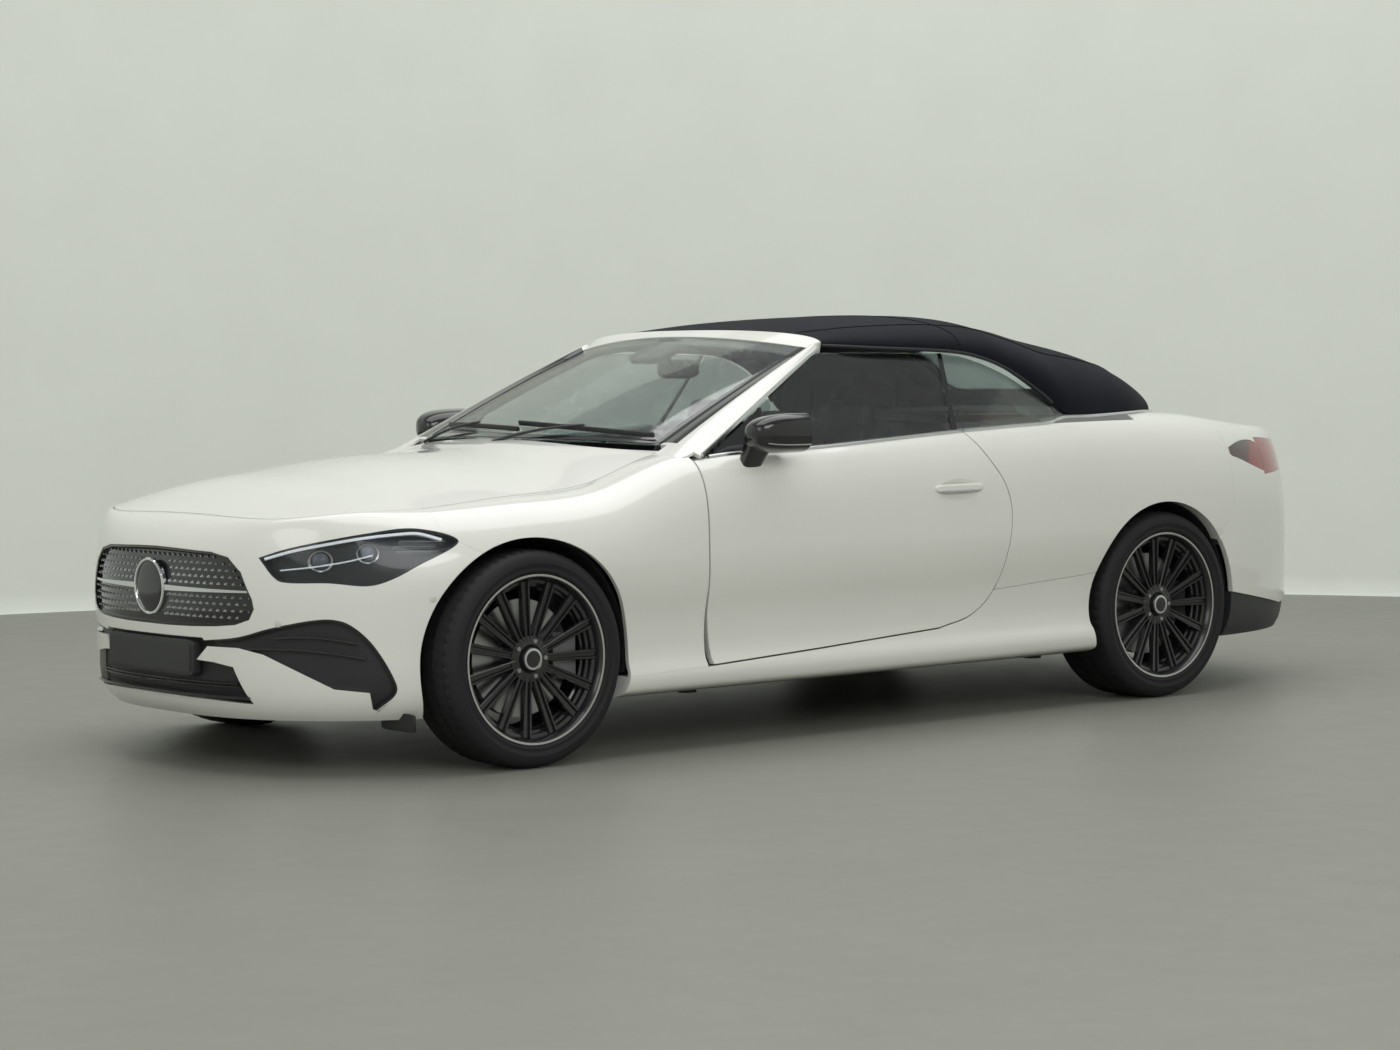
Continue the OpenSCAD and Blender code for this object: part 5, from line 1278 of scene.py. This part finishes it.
def mirrors():
    """Mirror: ovals that grow from a round front to a square-cut rear, glass let in, on a stout foot."""
    t = steps(28)[:, None, None]
    grow = np.concatenate([rounded((1 - t) ** 1.25, 2.6), np.array([0.95, 0.91, 0.9])[:, None, None]])
    x = np.concatenate([-0.728 + 0.205 * t, np.array([-0.519, -0.522, -0.532])[:, None, None]])
    shape = oval(3.0, 56)[None]
    y = -0.9415 + 0.0755 * grow * shape[..., :1] + 0.01 * (1 - grow)
    z = 1.0225 + 0.0655 * grow * shape[..., 1:] - 0.014 * (1 - grow) - 0.006 * grow * (1 + shape[..., :1])
    head = np.concatenate(np.broadcast_arrays(x, y, z), 2)
    k = steps(14)[:, None, None]
    ring_x = mix(-0.676, -0.66, k) + mix(0.042, 0.056, k**2) * oval(3.2)[None, :, :1]
    ring_y = mix(-0.866, -0.912, k**1.3) + mix(0.02, 0.036, k) * oval(3.2)[None, :, 1:]
    foot = np.concatenate(np.broadcast_arrays(ring_x, ring_y, mix(0.889, 0.985, k)), 2)
    sides("mirror_housing", joined(loft(head), loft(foot)), GLOSS_BLACK, "mirror")
    y, z = -0.9415 + 0.067 * shape[0, :, 0], 1.0165 + 0.0575 * shape[0, :, 1]
    plate = np.stack([np.stack([np.full(56, d), y, z], 1) for d in (-0.531, -0.527)])
    sides("mirror_pane", loft(plate), CHROME)
    line = head[5:29, 33] + (0, -0.8 * MM, 0)
    sides("mirror_line", swept(line, circle(2 * MM, 8)), BRIGHT)


def handles():
    """Flush door handle: a bar across its dish with a bright inset below."""
    x, z = HANDLE_X, HANDLE_Z
    y = -side_y(np.array(x), np.array(z))
    sides("door_handle", superbox((x, y - 1 * MM, z), mm((114, 9, 15)), 3.4, 72, 32), PAINT)
    sides("handle_inset", superbox((x, y - 7.5 * MM, z - 9 * MM), mm((100, 4.5, 4)), 4, 64, 20), BRIGHT)


def wipers():
    """Two wipers: blades that follow the foot of the windscreen and arms from their pivots."""
    parts, outward = [], (-0.4, 0, 0.92)
    blade_profile = mm([(-5, -9), (5, -9), (5, 2), (2, 7), (-2, 7), (-5, 2)])
    arm_profile, t = mm([(-7, -4), (7, -4), (6, 4), (-6, 4)]), steps(16)[:, None]
    for u0, u1 in ((-0.93, -0.04), (-0.1, 0.78)):
        blade = pane(steps(30, u0, u1), 0.045 + 0.05 * steps(30)) + (-2 * MM, 0, 11 * MM)
        pivot = pane(np.array(u1 + 0.02), np.array(-0.05)) + (0, 0, 2 * MM)
        end = pane(np.array(mix(u0, u1, 0.45)), np.array(0.07)) + (-2 * MM, 0, 22 * MM)
        arm = mix(pivot, end, t) + np.array((-0.3, 0, 0.9)) * 12 * MM * np.sin(np.pi * t)
        parts.append(swept(blade, blade_profile, up=outward))
        parts.append(swept(arm, arm_profile, up=outward, taper=1.2 - 0.6 * steps(16)))
    piece("wiper_set", joined(*parts), "body", SATIN_BLACK)


def screen_inside():
    """Dark lining of pillars and header, the grey band along the top of the glass, its black border."""
    vs, us, back, front = steps(40, 0, 1), steps(48, 1, -1), 43 * MM, 38.6 * MM
    wall = lambda u, v, d0, d1: shell(pane_grid(u, v, d0), pane_grid(u, v, d1))
    pillar = joined(wall(steps(2, -0.984, -1), vs, 9 * MM, back),
                    wall(steps(10, -1, -1.25), vs, front, back))
    header = joined(wall(us, steps(2, 0.982, 1), 9 * MM, back), wall(us, steps(8, 1, 2), front, back))
    piece("pillar_lining", joined(both(pillar), header), "body", LINING)
    band = wall(steps(48, 0.99, -0.99), steps(6, 0.925, 0.982), 8.5 * MM, 9.5 * MM)
    piece("screen_band", band, "body", BAND)
    raised = lambda u, v: wall(u, v, -0.7 * MM, 1.5 * MM)
    upright = raised(steps(6, -0.962, -1.085), steps(40, 0.01, 0.995))
    border = joined(both(upright), raised(steps(48, 0.97, -0.97), steps(3, 0.0, 0.028)))
    piece("screen_border", border, "body", GLOSS_BLACK)


def inside_mirror():
    """Sensor housing on the glass and the inside mirror on its stem."""
    place = pane(np.array(0.0), np.array(0.9)) + (0.01, 0, -0.026)
    housing = turned(superbox((0, 0, 0), mm((85, 95, 17)), 4.5, 64, 24), about_y(np.radians(-23.4)), place)
    stem = swept(place + mm([(20, 0, 0), (50, 0, -30), (75, 0, -55)]), circle(8 * MM))
    head = superbox(place + (0.088, 0, -0.062), mm((16, 112, 34)), 3.4, 64, 24)
    piece("inside_mirror", joined(housing, stem, head), "body", SATIN_BLACK)


strips()
window_trim()
mirrors()
handles()
wipers()
screen_inside()
inside_mirror()


# Cabin

def dash():
    """Dash: one rounded profile carried across the car, drawn in at the doors, screens, vents, console."""
    outline = line_through(mm([(-1105, 880), (-1060, 908), (-950, 920), (-760, 918), (-640, 902),
                               (-590, 872), (-598, 828), (-588, 760), (-610, 690), (-690, 600), (-850, 566),
                               (-1040, 580), (-1100, 700), (-1105, 880)]), 5)[:-1]
    t = steps(60, -1, 1)
    y = DASH_HALF * np.sin(np.pi / 2 * t)
    k = rounded(np.abs(y) / DASH_HALF, 9)[:, None]
    middle = np.array((-0.86, 0.75))
    bow = (t**2)[:, None, None] * mm((-20, -6))
    p = middle + (outline[None] - middle) * mix(0.8, 1.0, k)[..., None] + bow
    rings = np.stack([p[..., 0], np.broadcast_to(y[:, None], p.shape[:2]), p[..., 1]], 2)
    piece("dash_body", loft(rings), "body", DASH, ["dashboard"])
    screens = [turned(superbox((0, 0, 0), mm(half), 9, 64, 24), about_y(-lean), place)
               for place, half, lean in (((-0.622, STEER_AT[1], 0.872), (6, 165, 43), 0.25),
                                         ((-0.588, 0.0, 0.75), (6, 125, 105), 0.45))]
    piece("dash_screens", joined(*screens), "body", SCREEN)
    vent = ring(mm([(24, -6), (36, -6), (38, 0), (35, 6), (29, 6), (25, 2)]), 48)
    vane = superbox((0, 0, 0), mm((2, 25, 8)), 6, 24, 12)
    fan = joined(vent, *[turned(vane, about_z(a)) for a in np.pi * np.arange(3) / 3])
    vents = [turned(fan, facing((1, 0, 0.25)), (-0.592 - 0.02 * (w / DASH_HALF) ** 2, w, 0.852))
             for w in (-0.66, -0.09, 0.09, 0.6)]
    piece("dash_vents", joined(*vents), "body", BRIGHT)
    box = superbox((-0.26, 0, 0.5), mm((350, 115, 130)), 7, 72, 28)
    tray = superbox((-0.42, 0, 0.63), mm((130, 90, 12)), 6, 64, 20)
    piece("console", joined(box, tray), "body", GLOSS_BLACK)
    cushion, faces = pad(mm((160, 100, 28)), 8 * MM, 0, (), 0.85, 2 * MM, 32)
    rest = piece("console_armrest", (cushion + (-0.03, 0, 0.645), faces), "body", LEATHER)


def steering_wheel():
    """Steering wheel: leather rim, three spokes, a padded boss and its column, square to the column."""
    turn = facing((np.sin(np.radians(65)), 0, np.cos(np.radians(65))), (0, 0, 1))
    put = lambda part: turned(part, turn, STEER_AT)
    a, q, rim_r = 2 * np.pi * np.arange(120)[:, None] / 120, circle(1.0, 20), 170 * MM
    grip = 15 * MM * (1 + 0.06 * np.cos(4 * a))
    out = rim_r + grip * q[:, 0]
    rim_rings = np.stack([out * np.cos(a), out * np.sin(a), grip * q[:, 1]], 2)
    leather = put(surface(rim_rings, True, True))
    piece("steering_rim", leather, "steering_wheel", LEATHER, ["steering_wheel"])
    spokes, t = [], steps(12)
    for angle, wide in ((np.pi / 2, 28 * MM), (-np.pi / 2, 28 * MM), (np.pi, 20 * MM)):
        half = np.stack([wide * (1 + 0.35 * (t - 0.5) ** 2), np.full(13, 7 * MM)], 1)
        section = oval(4, 32)[None] * half[:, None]
        r, sink = mix(0.03, 0.165, t)[:, None, None], 10 * MM * (1 - t)[:, None, None]
        local = np.concatenate(np.broadcast_arrays(r, section[..., :1], section[..., 1:] - sink), 2)
        spokes.append(turned(loft(local), about_z(angle)))
    column = revolve(mm([(0, -190), (26, -190), (30, -60), (44, -34), (0, -30)])[::-1], 40)
    piece("steering_spokes", put(joined(*spokes, column)), "steering_wheel", SATIN_BLACK)
    boss = superbox((0, 0, -8 * MM), mm((58, 66, 20)), 2.8, 56, 28)
    piece("steering_boss", put(boss), "steering_wheel", DASH)


def lean_back(angle):
    """Turn from lying flat to leaning back: the pad's length goes up, its upper face looks ahead."""
    return about_y(np.radians(angle - 90))


def seats():
    """Seats: padded cushions, backs and headrests with channels and bolsters, on plinths, with posts."""
    tilt = lambda k: np.array([[1, 0, k], [0, 1, 0], [-k, 0, 1]])
    channels, rear_channels = (-0.55, -0.2, 0.15, 0.5), (-0.4, 0.0, 0.4)
    back_channels, rear_back_channels = (-0.6, -0.25, 0.1, 0.45), (-0.45, 0.0, 0.45)
    front_pads = (
        ("cushion", pad(mm((270, 250, 70)), 12 * MM, 26 * MM, channels), tilt(0.06), SEAT_X + 0.24, 0.4,
         0.75),
        ("back", pad(mm((300, 250, 55)), 10 * MM, 30 * MM, back_channels), lean_back(20), SEAT_X + 0.55,
         0.745, 0.75),
        ("headrest", pad(mm((82, 125, 42)), 10 * MM, 4 * MM, (), 0.8, 3 * MM, 36), lean_back(14),
         SEAT_X + 0.655, 1.022, 0.85))
    rear_pads = (
        ("cushion", pad(mm((190, 265, 70)), 14 * MM, 16 * MM, rear_channels), tilt(0.1), 0.68, 0.41, 0.75),
        ("back", pad(mm((250, 265, 50)), 10 * MM, 18 * MM, rear_back_channels), lean_back(20), 0.79, 0.69,
         0.75),
        ("headrest", pad(mm((60, 110, 35)), 8 * MM, 3 * MM, (), 0.8, 3 * MM, 32), lean_back(16), 0.86, 0.925,
         0.85))
    front_y, rear_y = 370 * MM, 285 * MM
    for row, node, across, pads in (("front", "front_seats", front_y, front_pads),
                                    ("rear", "rear_seat", rear_y, rear_pads)):
        for side, y in (("left", -across), ("right", across)):
            for part, shape, turn, x, z, fill in pads:
                stands_for = [node] if (part, side) == ("cushion", "left") else ()
                name, placed = f"{row}_{part}_{side}", turned(shape, turn, (x, y, z))
                soft = piece(name, placed, "body", LEATHER, stands_for)
    plinths = [superbox((SEAT_X + 0.22, y, 0.285), mm((230, 190, 65)), 8, 64, 20)
               for y in (-front_y, front_y)]
    plinths.append(superbox((0.69, 0, 0.29), mm((180, 540, 70)), 8, 64, 20))
    posts = [swept([(SEAT_X + 0.625, y, 0.95), (SEAT_X + 0.65, y, 1.02)], circle(6 * MM))
             for middle in (-front_y, front_y) for y in (middle - 50 * MM, middle + 50 * MM)]
    piece("seat_plinths", joined(*plinths), "body", SATIN_BLACK)
    piece("headrest_posts", joined(*posts), "body", CHROME)


dash()
steering_wheel()
seats()


# Wheels

def wheel_place(axle, side):
    """Turn and place of a wheel built about Z with its face towards +Z."""
    s = -1 if side == "left" else 1
    x, y = (XF, Y_FRONT) if axle == "front" else (XR, Y_REAR)
    return np.array([[1, 0, 0], [0, 0, s], [0, -s, 0]]), np.array([x, s * y, TYRE_R])


def rim(f):
    """Rim: stepped barrel seen between the spokes and a rolled lip at the face."""
    barrel = mm([(12, 0), (12, 8), (-2, 12), (-14, 50)]) + (RIM_R, -f)
    face = mm([(-14, -44), (-2, -12), (12, -8), (12, -1), (9, 0), (2, -3), (-4, -12), (-8, -26),
               (-18, -30), (-20, -44), (-28, -47), (-30, -62), (-36, -66)]) + (RIM_R, f)
    inner = mm([(-36, 50), (-10, 8), (-10, 0)]) + (RIM_R, -f)
    return ring(np.vstack([barrel, face, inner]), 180)


def spoke_set(f):
    """Double-rib spokes: a grooved profile carried from hub to rim, widening, copied round the axle."""
    rho = mm([50, 70, 100, 140, 180, 210, 230, 244])
    share = (rho - rho[0]) / 0.19
    top = f - 34 * MM + 14 * MM * share**1.4
    half, low = mix(10.5 * MM, 16.5 * MM, share), top - mix(30 * MM, 18 * MM, share)
    groove, fillet, chamfer, deep = half * 0.42, 1 * MM, 2 * MM, top - 8 * MM
    edge = [half, half, half - chamfer, groove + fillet, groove * 0.7]
    across = np.stack([*[-e for e in edge], *edge[::-1]], 1)
    height = np.stack([low, top - chamfer, top, top, deep, deep, top, top, top - chamfer, low], 1)
    p = np.stack([np.broadcast_to(rho[:, None], across.shape), across, height], 2)
    cap = lambda ends: np.broadcast_to(ends.mean(1, keepdims=True), ends.shape)
    one = surface(np.concatenate([cap(p[:1]), p, cap(p[-1:])])[::-1], False, True)
    return joined(*[turned(one, about_z(a)) for a in 2 * np.pi * np.arange(SPOKES) / SPOKES])


def hub(f):
    """Hub: dished centre, plain cap with a ring."""
    profile = mm([(0, -100), (80, -100), (80, -50), (72, -36), (46, -33), (38, -38), (36, -24), (34, -22),
                  (0, -21)])
    return revolve(profile + (0, f), 72)


def tyre(w):
    """Tyre: rounded profile about the axle, with four grooves and cross cuts near the shoulders."""
    r0, r1, h = RIM_R + 0.0123, TYRE_R, w / 2
    bead = mm([(0, -14), (6, -6), (12, -3.5), (18, -5), (30, -1.2)]) + (r0, h)
    shoulder = mm([(-40, 0), (-24, -4), (-12, -13), (-4, -26), (-0.8, -40)]) + (r1, h)
    side = line_through(np.vstack([bead, shoulder]), 3)
    t = np.concatenate([[s + d for d in (-0.0065, -0.005, 0.005, 0.0065)]
                        for s in (0.32 * w, 0.11 * w, -0.11 * w, -0.32 * w)])
    deep = np.tile([0, 0.007, 0.007, 0], 4)
    tread = np.stack([r1 - deep, t], 1)
    profile = np.vstack([side, tread, side[::-1] * (1, -1)])
    n = 240
    a = 2 * np.pi * np.arange(n)[:, None] / n
    r, z = profile[:, 0][None], profile[:, 1][None]
    cut = 0.004 * (np.arange(n)[:, None] % 4 == 0) * ((np.abs(z) > 0.28 * w) & (r > r1 - 6 * MM))
    r = r - cut
    p = np.stack(np.broadcast_arrays(r * np.cos(a), r * np.sin(a), z + 0 * a), 2)
    return surface(p[:, ::-1], True, True)


def wheels():
    """Wheels: alloy, bright rings, bolts, brake disc and tyre, all on the body of their own wheel."""
    disc = ring([(0.06, -6 * MM), (DISC_R, -6 * MM), (DISC_R, 24 * MM), (0.06, 24 * MM)], 120)
    for axle, side in (("front", "left"), ("front", "right"), ("rear", "left"), ("rear", "right")):
        place, body, w = wheel_place(axle, side), f"wheel_{axle}_{side}", TYRE_W[axle]
        f = w / 2 - 10 * MM
        lip = mm([(5, -3), (11.5, -3), (11.5, 0.6), (5, 0.2)]) + (RIM_R, f)
        cap = mm([(26, -22.5), (34, -22.5), (33.5, -20), (26.5, -19.5)]) + (0, f)
        bolts = np.column_stack([circle(57 * MM, 5), np.full(5, f - 44 * MM)])
        for name, part, material, slot, stands_for in (
                ("alloy", joined(rim(f), spoke_set(f), hub(f)), WHEEL_BLACK, "wheel", [body]),
                ("rim_ring", ring(lip, 180), CHROME, "wheel", ()),
                ("cap_ring", ring(cap, 72), BRIGHT, "wheel", ()),
                ("wheel_bolts", studs(bolts, (0, 0, 1), 8.5 * MM, 7.5 * MM, 13 * MM, 6), STEEL, "wheel", ()),
                ("brake_disc", disc, STEEL, "wheel", ()),
                ("tyre_tread", tyre(w), RUBBER, "tyre", [f"tyre_{axle}_{side}"])):
            piece(f"{name}_{axle}_{side}", turned(part, *place), body, material, stands_for)


wheels()


# Finishes of the CAD nodes that stay

for names, material in (
        ("floor_pan front_structure boot_hinges front_subframe rear_subframe exhaust", UNDER),
        ("wheel_housings", LINER), ("cowl", SATIN_BLACK), ("engine knuckle_left knuckle_right", CAST)):
    for name in names.split():
        mesh = frame["nodes"][name].data
        mesh.materials.clear()
        mesh.materials.append(material)


# Stage: pale floor and wall, soft light, camera at the photograph's place

def one_sided(material):
    """Lets sight through a surface from behind, so that the studio never hides the car."""
    nodes, links = material.node_tree.nodes, material.node_tree.links
    kinds = ("ShaderNodeNewGeometry", "ShaderNodeBsdfTransparent", "ShaderNodeMixShader")
    side, clear, both_ways = (nodes.new(kind) for kind in kinds)
    links.new(side.outputs["Backfacing"], both_ways.inputs["Fac"])
    links.new(nodes["Principled BSDF"].outputs["BSDF"], both_ways.inputs[1])
    links.new(clear.outputs["BSDF"], both_ways.inputs[2])
    links.new(both_ways.outputs["Shader"], nodes["Material Output"].inputs["Surface"])
    return material


def stage():
    """Grey floor and a round pale wall that meets it in a small curve, both seen from inside only."""
    floor_finish = one_sided(finish("studio_floor", (0.245, 0.245, 0.214), 0.45, grain=(8, 0.0), tone=0.02))
    wall_finish = one_sided(finish("studio_wall", (0.71, 0.735, 0.69), 0.9, grain=(8, 0.0), tone=0.015,
                                   Emission_Color=(0.71, 0.735, 0.69, 1), Emission_Strength=0.08))
    r, centre = 7.9, np.array([-1.6, -1.93, 0])
    floor = revolve([(0, 0), (3, 0), (8, 0), (16, 0)], 128)
    wall = revolve([(r, 0.001), (r + 0.02, 0.02), (r + 0.03, 0.1), (r + 0.03, 2), (r + 0.03, 6)], 128)
    for name, (v, f), m in (("studio_floor", floor, floor_finish), ("studio_wall", wall, wall_finish)):
        mesh = mesh_of((v + centre, f[:, ::-1]), name)
        o = bpy.data.objects.new(name, mesh)
        mesh.materials.append(m)
        mesh.shade_smooth()
        o.visible_shadow = False
        bpy.context.scene.collection.objects.link(o)


def lights():
    """Pale surroundings and three broad lamps: above, beside and ahead."""
    world = bpy.data.worlds.new("studio")
    bpy.context.scene.world = world
    world.use_nodes = True
    world.node_tree.nodes["Background"].inputs["Color"].default_value = (0.9, 0.93, 0.9, 1)
    world.node_tree.nodes["Background"].inputs["Strength"].default_value = 0.32
    for name, place, aim, size, power in (
            ("ceiling", (0, 0, 6.8), (0, 0, 0), (9, 7), 350),
            ("side", (-4, -9, 4.5), (0, 0, 0.6), (6, 4), 240),
            ("nose", (-9, -2, 4), (-1, 0, 0.6), (5, 4), 95)):
        lamp = bpy.data.lights.new(name, "AREA")
        lamp.shape, lamp.size, lamp.size_y, lamp.energy = "RECTANGLE", *size, power
        o = bpy.data.objects.new(name, lamp)
        o.location = place
        o.rotation_euler = (Vector(aim) - Vector(place)).to_track_quat("-Z", "Y").to_euler()
        bpy.context.scene.collection.objects.link(o)


def camera():
    """Camera fitted to the wheels and the ground in the photograph: place, yaw from +Y to +X, pitch, roll,
    and focal length in pixels of a 1400 wide frame.
    """
    place, focal, width = (-7.5927, -8.9685, 1.3008), 3251.6, 1400
    yaw, pitch, roll = np.radians((39.6366, -3.1334, -0.6649))
    ahead = np.array([np.sin(yaw) * np.cos(pitch), np.cos(yaw) * np.cos(pitch), np.sin(pitch)])
    level = np.array([np.cos(yaw), -np.sin(yaw), 0])
    up = np.cross(level, ahead)
    across, rise = level * np.cos(roll) + up * np.sin(roll), up * np.cos(roll) - level * np.sin(roll)
    lens = bpy.data.cameras.new("camera")
    lens.sensor_fit, lens.sensor_width, lens.lens = "HORIZONTAL", 36, 36 * focal / width
    lens.clip_end = 200
    o = bpy.data.objects.new("camera", lens)
    turn = Matrix(np.stack([across, rise, -ahead], 1).tolist()).to_4x4()
    o.matrix_world = Matrix.Translation(place) @ turn
    bpy.context.scene.collection.objects.link(o)
    bpy.context.scene.camera = o


stage()
lights()
camera()
bpy.context.scene.view_settings.view_transform = "Standard"
